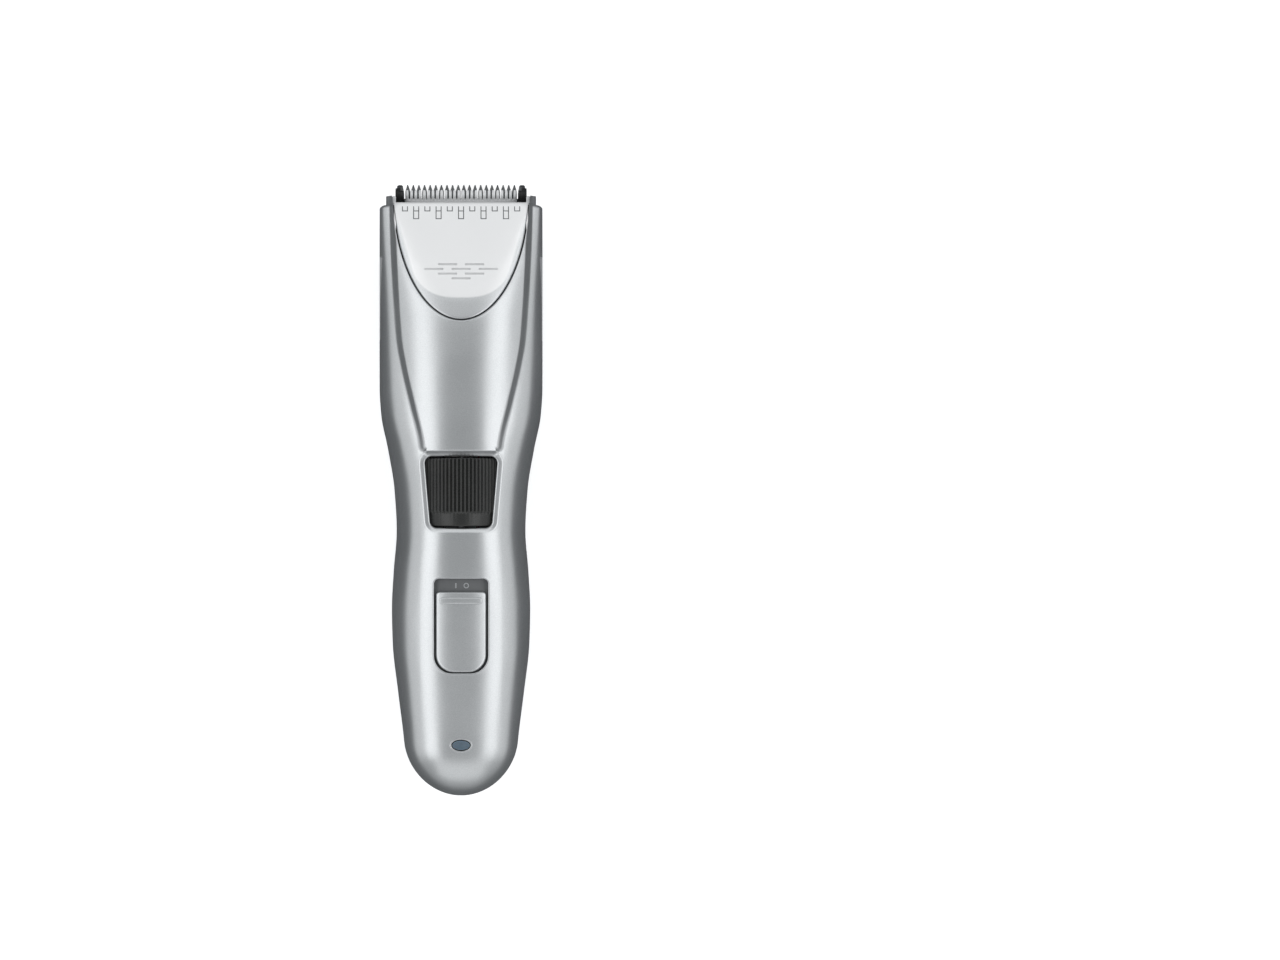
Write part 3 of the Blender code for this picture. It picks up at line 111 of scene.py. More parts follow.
# Windows in the front housing
DIAL_Y = COVER_BACK - 49.8 * mm
WINDOW_WIDTHS = (20.9 * mm, 18.0 * mm)
WINDOW_BACK = DIAL_Y - 10.3 * mm
WINDOW_FRONT = DIAL_Y + 10.3 * mm
PANEL_END = WINDOW_FRONT + 1.5 * mm
SWITCH_START = DIAL_Y - 52.5 * mm
SWITCH_SIZE = (15.6 * mm, 27.4 * mm)
BUTTON_SIZE = (14.5 * mm, 23.3 * mm)
LENS_Y = TAIL + 15.7 * mm
LENS_SIZE = (5.3 * mm, 3.0 * mm)
DIAL_FRAME = 1.4 * mm
DIAL_RIBS = 72
RIB_DEPTH = 0.5 * mm
SMOOTH_BAND = 4.0 * mm
BUTTON_CROWN = 0.28 * mm
SWITCH_TRAVEL = 3.8 * mm
COMB_TRAVEL = 18 * mm
ARM_SLOT_START = 43.9 * mm

# The camera stands straight above; the shifts are shares of the frame's width
FOCAL = 85
SENSOR = 36
CAMERA_DISTANCE = 891.8 * mm
CAMERA_SHIFT = (0.1398, 0.0078)

# The two blades, in the blade's own tilted frame
FIXED_TEETH = 20
FIXED_PITCH = 1.657 * mm
FIXED_TOOTH = 1.42 * mm
MOVING_TEETH = 26
MOVING_PITCH = 1.27 * mm
MOVING_TOOTH = 0.86 * mm

# Studio light: how far from straight up each softbox leans, in degrees, and the radiances
STRIP_LEAN = 36
SIDE_LEAN = 70
HEAD_LEAN = 44
TAIL_LEAN = -58
STRIP_LIGHT = 1.38
SIDE_LIGHT = 0.45
HEAD_LIGHT = 0.75
SKY_LIGHT = 0.42
TAIL_LIGHT = 0.65
FLOOR_GLOW = 0.45
# Painted reflection: the dark colour that metal mirrors in place of the white floor
FLOOR_PAINTED_REFLECTION = (0.1, 0.105, 0.11)


# ---------------------------------------------------------------- the body form

def through(line, share):
    """The value at this share of a smooth curve through (share, value) pairs."""
    places = [place for place, _ in line]
    values = [value for _, value in line]
    share = min(max(share, places[0]), places[-1])
    i = max(k for k in range(len(line) - 1) if places[k] <= share)
    slopes = [(values[k + 1] - values[k]) / (places[k + 1] - places[k]) for k in range(len(line) - 1)]
    before = shared_slope(slopes[i - 1], slopes[i]) if i else slopes[i]
    after = shared_slope(slopes[i], slopes[i + 1]) if i + 1 < len(slopes) else slopes[i]
    step = places[i + 1] - places[i]
    t = (share - places[i]) / step
    return ((2 * t ** 3 - 3 * t ** 2 + 1) * values[i] + (t ** 3 - 2 * t ** 2 + t) * step * before
            + (3 * t ** 2 - 2 * t ** 3) * values[i + 1] + (t ** 3 - t ** 2) * step * after)


def shared_slope(first, second):
    """The slope where two stretches meet, which never lets the curve pass its points' values."""
    return 2 * first * second / (first + second) if first * second > 0 else 0


def share_of(y):
    return (y - TAIL) / (TIP - TAIL)


def clamp(value, low=0, high=1):
    return min(max(value, low), high)


def smooth(t):
    t = clamp(t)
    return t * t * (3 - 2 * t)


def tail_share(y, inset):
    """0 ahead of the tail's rounding, 1 at its end."""
    return clamp((TAIL + TAIL_ROUND - y) / (TAIL_ROUND - inset))


def half_width(y, inset=0):
    width = BODY_WIDTH / 2 * through(WIDTH_LINE, share_of(y))
    if y > TIP - WING_END:
        t = clamp((y - TIP + WING_END) / (1.5 * CREASE))
        width = BODY_WIDTH / 2 - (BODY_WIDTH / 2 - POST_HALF_WIDTH) * (1 - math.sqrt(1 - t * t))
    return max(width - inset, 0) * math.sqrt(1 - tail_share(y, inset) ** 2)


def crease_half_width(y):
    return BODY_WIDTH / 2 * through(CREASE_LINE, share_of(y))


def half_height(y, inset, front):
    """From the parting plane to the form's crest, or down to its back."""
    if front:
        height = BODY_HEIGHT * through(FRONT_LINE, share_of(y)) - PARTING_HEIGHT
    else:
        height = PARTING_HEIGHT + FLAT_DEPTH - BODY_HEIGHT * through(BACK_LINE, share_of(y))
    return (height - inset) * (1 - tail_share(y, inset) ** 3) ** (1 / 3)


def bow(across, square):
    """Height of a superellipse's quarter, from 1 in the middle to 0 at its edge."""
    return (1 - min(across, 1) ** square) ** (1 / square)


def front_height(x, y, inset=0):
    """Height of the front surface above x, y: the panel between the creases, and a wing outside each."""
    width = half_width(y, inset)
    if width <= 0:
        return PARTING_HEIGHT
    share = share_of(y)
    height = half_height(y, inset, True)
    across = abs(x) / width
    wing = height * through(WING_SHARE, share) * bow(across, through(WING_SQUARE, share))
    panel = height * bow(across, through(PANEL_SQUARE, share))
    panel += PANEL_RAISE * smooth((y - PANEL_END + CREASE) / (1.4 * CREASE))
    reach = crease_reach(x, y)
    return PARTING_HEIGHT + wing + (panel - wing) * smooth(reach / CREASE_ROLL)


def crease_reach(x, y):
    """Distance inside the crease, rounded where the crease meets the panel's lower edge."""
    side = crease_half_width(y) - abs(x)
    ahead = y - PANEL_END + CREASE
    if 0 < ahead < PANEL_CORNER and side < PANEL_CORNER:
        return PANEL_CORNER - math.hypot(PANEL_CORNER - side, PANEL_CORNER - ahead)
    return side


def back_height(x, y):
    """Height of the back surface below the point x, y."""
    across = min(abs(x) / half_width(y), 1)
    depth = half_height(y, 0, False) * (1 - across ** BACK_SQUARE) ** (1 / BACK_SQUARE)
    return max(PARTING_HEIGHT - depth, 0)


def facet_height(y):
    return FACET_HEIGHT - FACET_SLOPE * (y - TIP + FACET_START)


def cover_height(x, y):
    """The head cover's surface: the body form, cut by a sloping facet with a soft edge."""
    form, facet = front_height(x, y), facet_height(y)
    t = clamp(0.5 + (form - facet) / (2 * FACET_BLEND))
    return form + (facet - form) * t - FACET_BLEND * t * (1 - t)


# ---------------------------------------------------------------- mesh tools

def mesh_from(shape, name):
    """A mesh with the bmesh's faces. The bmesh is freed."""
    mesh = bpy.data.meshes.new(name)
    shape.to_mesh(mesh)
    shape.free()
    return mesh


def new_object(name, data):
    made = bpy.data.objects.new(name, data)
    bpy.context.scene.collection.objects.link(made)
    return made


def add_piece(name, shape, material, body, replaced=(), sharp=38):
    """A new object from a bmesh, with smooth shading, that rides on a body."""
    bmesh.ops.recalc_face_normals(shape, faces=shape.faces)
    mesh = mesh_from(shape, name)
    mesh.shade_smooth()
    mesh.set_sharp_from_angle(angle=math.radians(sharp))
    mesh.materials.append(material)
    piece = new_object(name, mesh)
    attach(piece, body)
    if replaced:
        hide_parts(*replaced)
    return piece


def skin(shape, rings, closed=True):
    """Faces between neighbouring rings of vertices, where a ring of one vertex is a pole."""
    for first, second in zip(rings, rings[1:]):
        count = max(len(first), len(second))
        for i in range(count if closed else count - 1):
            j = (i + 1) % count
            corners = [first[i % len(first)], second[i % len(second)],
                       second[j % len(second)], first[j % len(first)]]
            corners = list(dict.fromkeys(corners))
            if len(corners) > 2:
                shape.faces.new(corners)


def make_rings(shape, rings):
    return [[shape.verts.new(point) for point in ring] for ring in rings]


def cap(shape, ring):
    shape.faces.new(ring)


def moved(shape, matrix):
    bmesh.ops.transform(shape, matrix=matrix, verts=shape.verts)
    return shape


def inward(outline, distance):
    """The closed outline, moved inward along its own normals. It runs counterclockwise."""
    count = len(outline)
    result = []
    for k, (x, y) in enumerate(outline):
        (ax, ay), (bx, by) = outline[k - 1], outline[(k + 1) % count]
        tangent = Vector((bx - ax, by - ay)).normalized()
        result.append((x - tangent.y * distance, y + tangent.x * distance))
    return result


def scaled(outline, centre, factor):
    cx, cy = centre
    return [(cx + (x - cx) * factor, cy + (y - cy) * factor) for x, y in outline]


def lifted(outline, height_at, offset=0):
    return [Vector((x, y, height_at(x, y) + offset)) for x, y in outline]


def crowned(outline, height_at, centre, rounding, depth, steps=12, hollow=0):
    """A slab that follows a surface: a rounded rim, a wall down from it, and a closed or hollow underside."""
    shape = bmesh.new()
    arc = [math.pi / 2 * k / 5 for k in range(6)]
    rings = [lifted(outline, height_at, -depth)]
    rings += [lifted(inward(outline, rounding * (1 - math.cos(a))), height_at, rounding * (math.sin(a) - 1))
              for a in arc]
    inner = inward(outline, rounding)
    for k in range(1, steps):
        rings.append(lifted(scaled(inner, centre, 1 - k / steps), height_at))
    rings.append([Vector((*centre, height_at(*centre)))])
    made = make_rings(shape, rings)
    skin(shape, made)
    if hollow:
        under = [lifted(inward(outline, hollow), height_at, -depth)]
        within = inward(outline, hollow)
        under += [lifted(scaled(within, centre, 1 - k / 8), height_at, -hollow) for k in range(8)]
        under.append([Vector((*centre, height_at(*centre) - hollow))])
        lower = make_rings(shape, under)
        skin(shape, [made[0], *lower])
    else:
        cap(shape, made[0])
    return shape


def rim(outline, height_at, profile, closed=True):
    """An edge swept along an outline, from (distance outside it, height above the surface) pairs."""
    shape = bmesh.new()
    rings = []
    for out, up in profile:
        ring = inward(outline, -out) if closed else outward_open(outline, out)
        rings.append(lifted(ring, height_at, up))
    skin(shape, make_rings(shape, rings), closed)
    return shape


def outward_open(outline, distance):
    """An open run moved to its right."""
    result = []
    for k, (x, y) in enumerate(outline):
        (ax, ay), (bx, by) = outline[max(k - 1, 0)], outline[min(k + 1, len(outline) - 1)]
        tangent = Vector((bx - ax, by - ay)).normalized()
        result.append((x + tangent.y * distance, y - tangent.x * distance))
    return result


def lathe(profile, place, axis="Y", steps=48):
    """A run of (radius, along) pairs turned about an axis through place."""
    shape = bmesh.new()
    rings = []
    for radius, along in profile:
        if radius <= 0:
            rings.append([Vector((0, 0, along))])
            continue
        turns = [2 * math.pi * k / steps for k in range(steps)]
        rings.append([Vector((radius * math.cos(a), radius * math.sin(a), along)) for a in turns])
    skin(shape, make_rings(shape, rings))
    turn = Matrix.Rotation(math.radians(-90), 4, "X") if axis == "Y" else Matrix()
    return moved(shape, Matrix.Translation(place) @ turn)


def resampled(outline, spacing):
    """The closed outline with extra points, so that none of its sides is longer than spacing."""
    result = []
    for (ax, ay), (bx, by) in zip(outline, outline[1:] + outline[:1]):
        parts = max(1, round(math.hypot(bx - ax, by - ay) / spacing))
        result += [(ax + (bx - ax) * k / parts, ay + (by - ay) * k / parts) for k in range(parts)]
    return result


def rounded_corner(centre, radius, start):
    """Points of a quarter circle that turns left from the start angle."""
    x, y = centre
    steps = 9
    angles = [start + math.pi / 2 * k / (steps - 1) for k in range(steps)]
    return [(x + radius * math.cos(a), y + radius * math.sin(a)) for a in angles]


def rounded_trapezoid(front_width, back_width, back, front, front_radius, back_radius):
    """An outline in X and Y with its own width and corner radius at each end."""
    fx, bx = front_width / 2, back_width / 2
    outline = (rounded_corner((fx - front_radius, front - front_radius), front_radius, 0)
               + rounded_corner((-fx + front_radius, front - front_radius), front_radius, math.pi / 2)
               + rounded_corner((-bx + back_radius, back + back_radius), back_radius, math.pi)
               + rounded_corner((bx - back_radius, back + back_radius), back_radius, 3 * math.pi / 2))
    return resampled(outline, 0.6 * mm)


def rounded_box(width, length, centre, radius):
    x, y = centre
    box = rounded_trapezoid(width, width, -length / 2, length / 2, radius, radius)
    return [(px + x, py + y) for px, py in box]


def ellipse(width, length, y, steps=48):
    turns = [2 * math.pi * k / steps for k in range(steps)]
    return [(width / 2 * math.cos(a), y + length / 2 * math.sin(a)) for a in turns]


def prism(outline, low, high, matrix=None):
    shape = bmesh.new()
    lower = [shape.verts.new((x, y, low)) for x, y in outline]
    upper = [shape.verts.new((x, y, high)) for x, y in outline]
    skin(shape, [lower, upper])
    cap(shape, lower)
    cap(shape, upper)
    return moved(shape, matrix) if matrix else shape


def cut(piece, shapes):
    """Subtracts closed bmeshes from the piece's mesh, once and for all."""
    for shape in shapes:
        bmesh.ops.recalc_face_normals(shape, faces=shape.faces)
        cutter = new_object("cutter", mesh_from(shape, "cutter"))
        step = piece.modifiers.new("cut", "BOOLEAN")
        step.operation = "DIFFERENCE"
        step.object = cutter
        graph = bpy.context.evaluated_depsgraph_get()
        result = bpy.data.meshes.new_from_object(piece.evaluated_get(graph))
        piece.modifiers.clear()
        piece.data = result
        bpy.data.objects.remove(cutter)
    piece.data.shade_smooth()
    piece.data.set_sharp_from_angle(angle=math.radians(38))


def joined(*shapes):
    """One bmesh that holds the faces of all of these."""
    result = bmesh.new()
    for shape in shapes:
        mesh = mesh_from(shape, "part")
        result.from_mesh(mesh)
        bpy.data.meshes.remove(mesh)
    return result


def softened(name, node, material, body, width):
    """A copy of a CAD node with its sharp edges rounded, which stands for the node."""
    shape = bmesh.new()
    shape.from_mesh(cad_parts[node].data)
    bmesh.ops.remove_doubles(shape, verts=shape.verts, dist=0.002 * mm)
    bmesh.ops.dissolve_limit(shape, angle_limit=math.radians(1), verts=shape.verts, edges=shape.edges)
    piece = add_piece(name, shape, material, body, (node,))
    bevel = piece.modifiers.new("soft_edges", "BEVEL")
    bevel.width = width
    bevel.segments = 3
    bevel.limit_method = "ANGLE"
    bevel.angle_limit = math.radians(35)
    bevel.harden_normals = False
    return piece


# ---------------------------------------------------------------- materials


class Finish:
    """Builds one node material step by step."""

    def __init__(self, name, slot, metallic=0.0):
        self.material = bpy.data.materials.new(name)
        self.material.use_nodes = True
        self.tree = self.material.node_tree
        self.shader = self.tree.nodes["Principled BSDF"]
        self.shader.inputs["Metallic"].default_value = metallic
        self.place = self.node("ShaderNodeTexCoord").outputs["Object"]
        self.height = None

    def node(self, kind):
        return self.tree.nodes.new(kind)

    def link(self, output, target):
        self.tree.links.new(output, target)

    def set(self, **values):
        """Plain numbers on the shader's own sockets."""
        for name, value in values.items():
            self.shader.inputs[name.replace("_", " ")].default_value = value

    def noise(self, size, detail=3.0, stretch=(1, 1, 1)):
        """A noise whose grains are about this size in metres."""
        mapping = self.node("ShaderNodeMapping")
        mapping.inputs["Scale"].default_value = [1 / s for s in stretch]
        noise = self.node("ShaderNodeTexNoise")
        noise.inputs["Scale"].default_value = 0.5 / size
        noise.inputs["Detail"].default_value = detail
        self.link(self.place, mapping.inputs["Vector"])
        self.link(mapping.outputs["Vector"], noise.inputs["Vector"])
        return noise.outputs["Fac"]

    def spread(self, value, low, high, start=0.35, end=0.65):
        """A number that goes from low to high as value goes from start to end."""
        ramp = self.node("ShaderNodeMapRange")
        for name, number in (("From Min", start), ("From Max", end), ("To Min", low), ("To Max", high)):
            ramp.inputs[name].default_value = number
        self.link(value, ramp.inputs["Value"])
        return ramp.outputs["Result"]

    def times(self, first, second):
        product = self.node("ShaderNodeMath")
        product.operation = "MULTIPLY"
        self.link(first, product.inputs[0])
        self.link(second, product.inputs[1])
        return product.outputs["Value"]

    def colour(self, first, second, share):
        """The base colour, mixed from two tones."""
        mix = self.node("ShaderNodeMix")
        mix.data_type = "RGBA"
        mix.inputs["A"].default_value = (*first, 1)
        mix.inputs["B"].default_value = (*second, 1)
        self.link(share, mix.inputs["Factor"])
        self.link(mix.outputs["Result"], self.shader.inputs["Base Color"])
        return mix

    def roughness(self, share, low, high, start=0.35, end=0.65):
        self.link(self.spread(share, low, high, start, end), self.shader.inputs["Roughness"])

    def bump(self, share, depth):
        """Adds a relief of this depth in metres to those already there."""
        bump = self.node("ShaderNodeBump")
        bump.inputs["Strength"].default_value = 1
        bump.inputs["Distance"].default_value = depth
        self.link(share, bump.inputs["Height"])
        if self.height:
            self.link(self.height, bump.inputs["Normal"])
        self.height = bump.outputs["Normal"]
        self.link(self.height, self.shader.inputs["Normal"])


def silver_paint(name, slot, dark, light, rough, metallic):
    """Satin metallic paint: fine flakes, a faint orange peel, and wear that changes the gloss."""
    made = Finish(name, slot, metallic)
    flake = made.noise(0.12 * mm, 2)
    cloud = made.noise(14 * mm, 3)
    tone = made.times(flake, made.spread(cloud, 0.92, 1.08))
    made.colour(dark, light, made.spread(tone, 0, 1, 0.25, 0.75))
    made.roughness(cloud, rough - 0.025, rough + 0.035)
    made.bump(made.noise(0.9 * mm, 2), 0.004 * mm)
    made.bump(flake, 0.0015 * mm)
    return made.material


def painted_highlight_share(made):
    """1 inside the shield shape of the painted highlight on the cover's face, 0 outside it. The shape is
    wider than the flat facet it stands for.
    """
    def maths(operation, first, *numbers):
        step = made.node("ShaderNodeMath")
        step.operation = operation
        for socket, value in zip(step.inputs, (first, *numbers)):
            if isinstance(value, (int, float)):
                socket.default_value = value
            else:
                made.link(value, socket)
        return step.outputs["Value"]
    place = made.node("ShaderNodeSeparateXYZ")
    made.link(made.place, place.inputs["Vector"])
    half = maths("MULTIPLY_ADD", place.outputs["Y"], SHIELD_FLARE, SHIELD_HALF - SHIELD_FLARE * SHIELD_BEND)
    across = maths("POWER", maths("DIVIDE", maths("ABSOLUTE", place.outputs["X"]), half), 3.0)
    below = maths("DIVIDE", maths("SUBTRACT", SHIELD_BEND, place.outputs["Y"]), SHIELD_ROUND)
    along = maths("POWER", maths("MAXIMUM", below, 0.0), 2.2)
    return made.spread(maths("ADD", across, along), 1, 0, 0.92, 1.06)


def silver_paint_with_painted_highlight(name, slot, dark, light, pale, rough, metallic):
    """The housing's silver paint, with a paler and flatter tone on the shield-shaped face: a painted
    highlight for the light that the cover's flat facet reflects.
    """
    made = Finish(name, slot, metallic)
    flake = made.noise(0.12 * mm, 2)
    cloud = made.noise(14 * mm, 3)
    silver = made.colour(dark, light, made.spread(flake, 0, 1, 0.25, 0.75))
    # Painted highlight: the pale, less metallic tone inside the shield shape
    painted_highlight = painted_highlight_share(made)
    mix = made.node("ShaderNodeMix")
    mix.data_type = "RGBA"
    mix.inputs["B"].default_value = (*pale, 1)
    made.link(silver.outputs["Result"], mix.inputs["A"])
    made.link(painted_highlight, mix.inputs["Factor"])
    made.link(mix.outputs["Result"], made.shader.inputs["Base Color"])
    made.link(made.spread(painted_highlight, metallic, 0.35, 0, 1), made.shader.inputs["Metallic"])
    made.roughness(cloud, rough - 0.02, rough + 0.04)
    made.bump(made.noise(0.9 * mm, 2), 0.004 * mm)
    made.bump(flake, 0.0015 * mm)
    return made.material


def moulded(name, slot, dark, light, rough, grain=0.25 * mm, depth=0.01 * mm, **values):
    """Moulded plastic or rubber: a fine spark-eroded grain and slightly uneven colour and gloss."""
    made = Finish(name, slot)
    cloud = made.noise(6 * mm, 4)
    texture = made.noise(grain, 3)
    made.colour(dark, light, made.spread(cloud, 0, 1))
    made.roughness(texture, rough - 0.05, rough + 0.06)
    made.bump(texture, depth)
    made.set(**values)
    return made.material


def ground_steel(name, slot, dark, light, rough, stretch=(0.05, 2.5, 1), metallic=1.0):
    """Metal with grinding lines along one direction and a few duller patches."""
    made = Finish(name, slot, metallic)
    scratch, depth = 0.12 * mm, 0.003 * mm
    lines = made.noise(scratch, 4, stretch)
    cloud = made.noise(3 * mm, 3)
    made.colour(dark, light, made.spread(lines, 0, 1, 0.3, 0.7))
    made.roughness(made.times(lines, made.spread(cloud, 0.85, 1.15)), rough - 0.06, rough + 0.1, 0.25, 0.75)
    made.bump(lines, depth)
    return made.material


def wrapped_cell(name, slot):
    """The battery's printed sleeve: a plain colour with a paler band and fine wrinkles."""
    made = Finish(name, slot)
    place = made.node("ShaderNodeSeparateXYZ")
    made.link(made.place, place.inputs["Vector"])
    band = made.spread(place.outputs["Y"], 0, 1, -32 * mm, -31.6 * mm)
    made.colour((0.02, 0.16, 0.07), (0.6, 0.62, 0.58), band)
    wrinkle = made.noise(0.8 * mm, 3, (3, 1, 1))
    made.roughness(wrinkle, 0.3, 0.45)
    made.bump(wrinkle, 0.02 * mm)
    return made.material


def circuit(name, slot):
    """Solder mask over copper tracks."""
    made = Finish(name, slot)
    tracks = made.node("ShaderNodeTexBrick")
    tracks.inputs["Scale"].default_value = 260
    tracks.inputs["Mortar Size"].default_value = 0.03
    made.link(made.place, tracks.inputs["Vector"])
    made.colour((0.01, 0.09, 0.035), (0.03, 0.2, 0.07), tracks.outputs["Fac"])
    made.roughness(made.noise(0.5 * mm), 0.3, 0.42)
    made.bump(tracks.outputs["Fac"], 0.02 * mm)
    return made.material


def tinted_lens(name, slot):
    """A translucent light pipe under a polished face."""
    made = Finish(name, slot)
    cloud = made.noise(1.2 * mm, 2)
    made.colour((0.085, 0.115, 0.15), (0.105, 0.14, 0.18), made.spread(cloud, 0, 1))
    made.roughness(cloud, 0.16, 0.22)
    made.bump(made.noise(0.4 * mm), 0.002 * mm)
    made.set(Coat_Weight=0.5, Coat_Roughness=0.08, Subsurface_Weight=0.2)
    return made.material


def pale_floor():
    """A matt white sweep. Metal mirrors it darker than it looks, which is a painted reflection, as it would
    mirror dark cards on a set.
    """
    made = Finish("pale_floor", "", 0.0)
    cloud = made.noise(60 * mm, 3)
    made.colour((0.9, 0.905, 0.91), (0.92, 0.925, 0.93), made.spread(cloud, 0, 1))
    made.roughness(made.noise(2 * mm), 0.7, 0.8)
    made.bump(made.noise(1.5 * mm), 0.01 * mm)
    made.set(Emission_Color=(1, 1, 1, 1), Emission_Strength=FLOOR_GLOW)
    # Painted reflection: glossy rays see this dark colour in place of the floor
    painted_reflection = made.node("ShaderNodeBsdfDiffuse")
    painted_reflection.inputs["Color"].default_value = (*FLOOR_PAINTED_REFLECTION, 1)
    rays = made.node("ShaderNodeLightPath")
    mix = made.node("ShaderNodeMixShader")
    made.link(rays.outputs["Is Glossy Ray"], mix.inputs["Fac"])
    made.link(made.shader.outputs["BSDF"], mix.inputs[1])
    made.link(painted_reflection.outputs["BSDF"], mix.inputs[2])
    made.link(mix.outputs["Shader"], made.tree.nodes["Material Output"].inputs["Surface"])
    return made.material


SILVER = silver_paint("silver_paint", "silver_housing", (0.5, 0.515, 0.525), (0.62, 0.635, 0.645), 0.3, 0.9)
# The cover's paint, with a painted highlight on its shield-shaped face
COVER = silver_paint_with_painted_highlight("silver_paint_painted_highlight", "pale_silver_cover", (0.5, 0.515, 0.525),
                       (0.62, 0.635, 0.645), (0.8, 0.805, 0.81), 0.32, 0.9)
EAR_PAINT = silver_paint("ear_paint", "pale_silver_cover", (0.68, 0.69, 0.7), (0.76, 0.77, 0.78), 0.36, 0.3)
BLACK = moulded("black_moulding", "black_plastic", (0.01, 0.0105, 0.011), (0.017, 0.0175, 0.018), 0.36)
DIAL_BLACK = moulded("dial_moulding", "black_plastic", (0.012, 0.0125, 0.012), (0.02, 0.021, 0.02), 0.3,
                     0.12 * mm, 0.004 * mm)
DARK = moulded("dark_moulding", "dark_plastic", (0.035, 0.036, 0.04), (0.05, 0.051, 0.055), 0.5)
GREY = moulded("grey_moulding", "grey_plastic", (0.12, 0.125, 0.13), (0.15, 0.155, 0.16), 0.42)
MARKS = moulded("length_mark_grey", "grey_plastic", (0.1, 0.105, 0.11), (0.13, 0.135, 0.14), 0.5)
WHITE = moulded("white_moulding", "white_plastic", (0.7, 0.69, 0.65), (0.78, 0.77, 0.73), 0.4)
STEEL = ground_steel("plain_steel", "steel", (0.45, 0.46, 0.48), (0.58, 0.59, 0.61), 0.3, (1, 1, 1))
# Painted highlight: pale and hardly metallic, so that it stays bright in the shade of the cover's front wall,
# where real steel would mirror the dark wall
PAINTED_BRIGHT_STEEL = ground_steel("painted_bright_steel", "bright_steel", (0.76, 0.77, 0.78), (0.9, 0.91, 0.92),
                            0.3, metallic=0.1)
BLADE_STEEL = ground_steel("blade_ground_steel", "blade_steel", (0.16, 0.165, 0.17), (0.26, 0.265, 0.27),
                           0.28)
BRASS = ground_steel("turned_brass", "brass", (0.6, 0.42, 0.17), (0.78, 0.57, 0.26), 0.26, (1, 1, 1))
RUBBER = moulded("soft_rubber", "rubber", (0.02, 0.02, 0.021), (0.03, 0.03, 0.031), 0.75, 0.4 * mm,
                 0.02 * mm)
LENS = tinted_lens("tinted_lens", "lens")
WRAP = wrapped_cell("battery_sleeve", "battery_wrap")
BOARD = circuit("solder_mask", "board")
RED = moulded("wire_insulation_red", "red_wire", (0.42, 0.02, 0.015), (0.5, 0.03, 0.02), 0.4)
BLACK_WIRE = moulded("wire_insulation_black", "black_plastic", (0.012, 0.012, 0.013), (0.02, 0.02, 0.02),
                     0.4)

NODE_FINISHES = {
    "chassis": DARK, "head_bulkhead": DARK, "shaft_seal": RUBBER, "battery": WRAP,
    "battery_contact_front": STEEL, "battery_contact_rear": STEEL, "circuit_board": BOARD,
    "control_chip": BLACK, "slide_switch": STEEL, "indicator_led": LENS, "charging_jack": BLACK,
    "jack_pin": BRASS, "jack_seal": RUBBER, "motor_can": STEEL, "motor_end_cap": BLACK,
    "motor_bush": BRASS, "motor_lead_left": BLACK_WIRE, "motor_lead_right": RED, "dial_axle": STEEL,
    "dial_detent_spring": STEEL, "switch_stem": BLACK, "dial_cam_drum": WHITE, "comb_slider": BLACK,
    "follower_pin": STEEL, "motor_shaft": STEEL, "eccentric_cam": WHITE, "drive_pin": STEEL,
    "blade_spring": STEEL, "blade_carrier": WHITE,
}


# ---------------------------------------------------------------- housing

def row_angles(y, width, square):
    """Angles from the housing's edge to its middle, closer together at the crease."""
    def at(x, most):
        return math.acos(clamp(x / width, 0, most) ** (square / 2))
    crease = crease_half_width(y)
    edge, foot = at(crease + 0.2 * mm, 0.97), at(crease - CREASE_ROLL - 0.2 * mm, 0.9)
    middle = math.pi / 2
    return ([edge * (k / 18) ** 1.3 for k in range(18)] + [edge + (foot - edge) * k / 12 for k in range(12)]
            + [foot + (middle - foot) * k / 20 for k in range(21)])


def front_row(y, inset):
    """Points across the front half of the housing at y, from right to left."""
    width = half_width(y, inset)
    if width < 0.01 * mm:
        return [Vector((0, y, PARTING_HEIGHT + GAP / 2))]
    lift = GAP / 2
    height = half_height(y, inset, True)
    squeeze = max(height - lift, 0) / height if height > 0 else 0
    square = through(WING_SQUARE, share_of(y))
    half = []
    for number, angle in enumerate(row_angles(y, width, square)):
        x = width * math.cos(angle) ** (2 / square) if angle < math.pi / 2 else 0
        z = PARTING_HEIGHT + lift + (front_height(x, y, inset) - PARTING_HEIGHT) * squeeze
        nip = EDGE_NIP[number] if number < len(EDGE_NIP) and not inset else 0
        half.append(Vector((max(x - nip, 0), y, z)))
    return half + [Vector((-p.x, p.y, p.z)) for p in reversed(half[:-1])]


def back_row(y, inset):
    """Points across the back half of the housing at y, from right to left."""
    width = half_width(y, inset)
    if width < 0.01 * mm:
        return [Vector((0, y, PARTING_HEIGHT - GAP / 2))]
    lift = GAP / 2
    height = max(half_height(y, inset, False) - lift, 0)
    half = []
    for number in range(41):
        angle = math.pi / 2 * (number / 40) ** 1.15
        x = width * math.cos(angle) ** (2 / BACK_SQUARE) if number < 40 else 0
        nip = EDGE_NIP[number] if number < len(EDGE_NIP) and not inset else 0
        z = PARTING_HEIGHT - lift - height * math.sin(angle) ** (2 / BACK_SQUARE)
        half.append(Vector((max(x - nip, 0), y, max(z, inset))))
    return half + [Vector((-p.x, p.y, p.z)) for p in reversed(half[:-1])]


EDGE_NIP = (0.2 * mm, 0.06 * mm, 0.015 * mm)


def stations(end, inset):
    """Places along Y where the housing is drawn: closer at the tail, the panel's end and the wings' ends."""
    tail, rounded = TAIL + inset, TAIL_ROUND - inset
    run = [tail + rounded * (1 - math.cos(math.pi / 2 * k / 26)) for k in range(27)]
    for start, stop, count in ((TAIL + TAIL_ROUND, PANEL_END - 2 * CREASE, 60),
                               (PANEL_END - 2 * CREASE, PANEL_END + 2 * CREASE, 22),
                               (PANEL_END + 2 * CREASE, TIP - WING_END, 58),
                               (TIP - WING_END, TIP - WING_END + 1.5 * CREASE, 10),
                               (TIP - WING_END + 1.5 * CREASE, TIP - POST_END, 5)):
        run += [start + (stop - start) * k / count for k in range(1, count + 1)]
    return [y for y in run if y < end - 0.01 * mm] + [end]


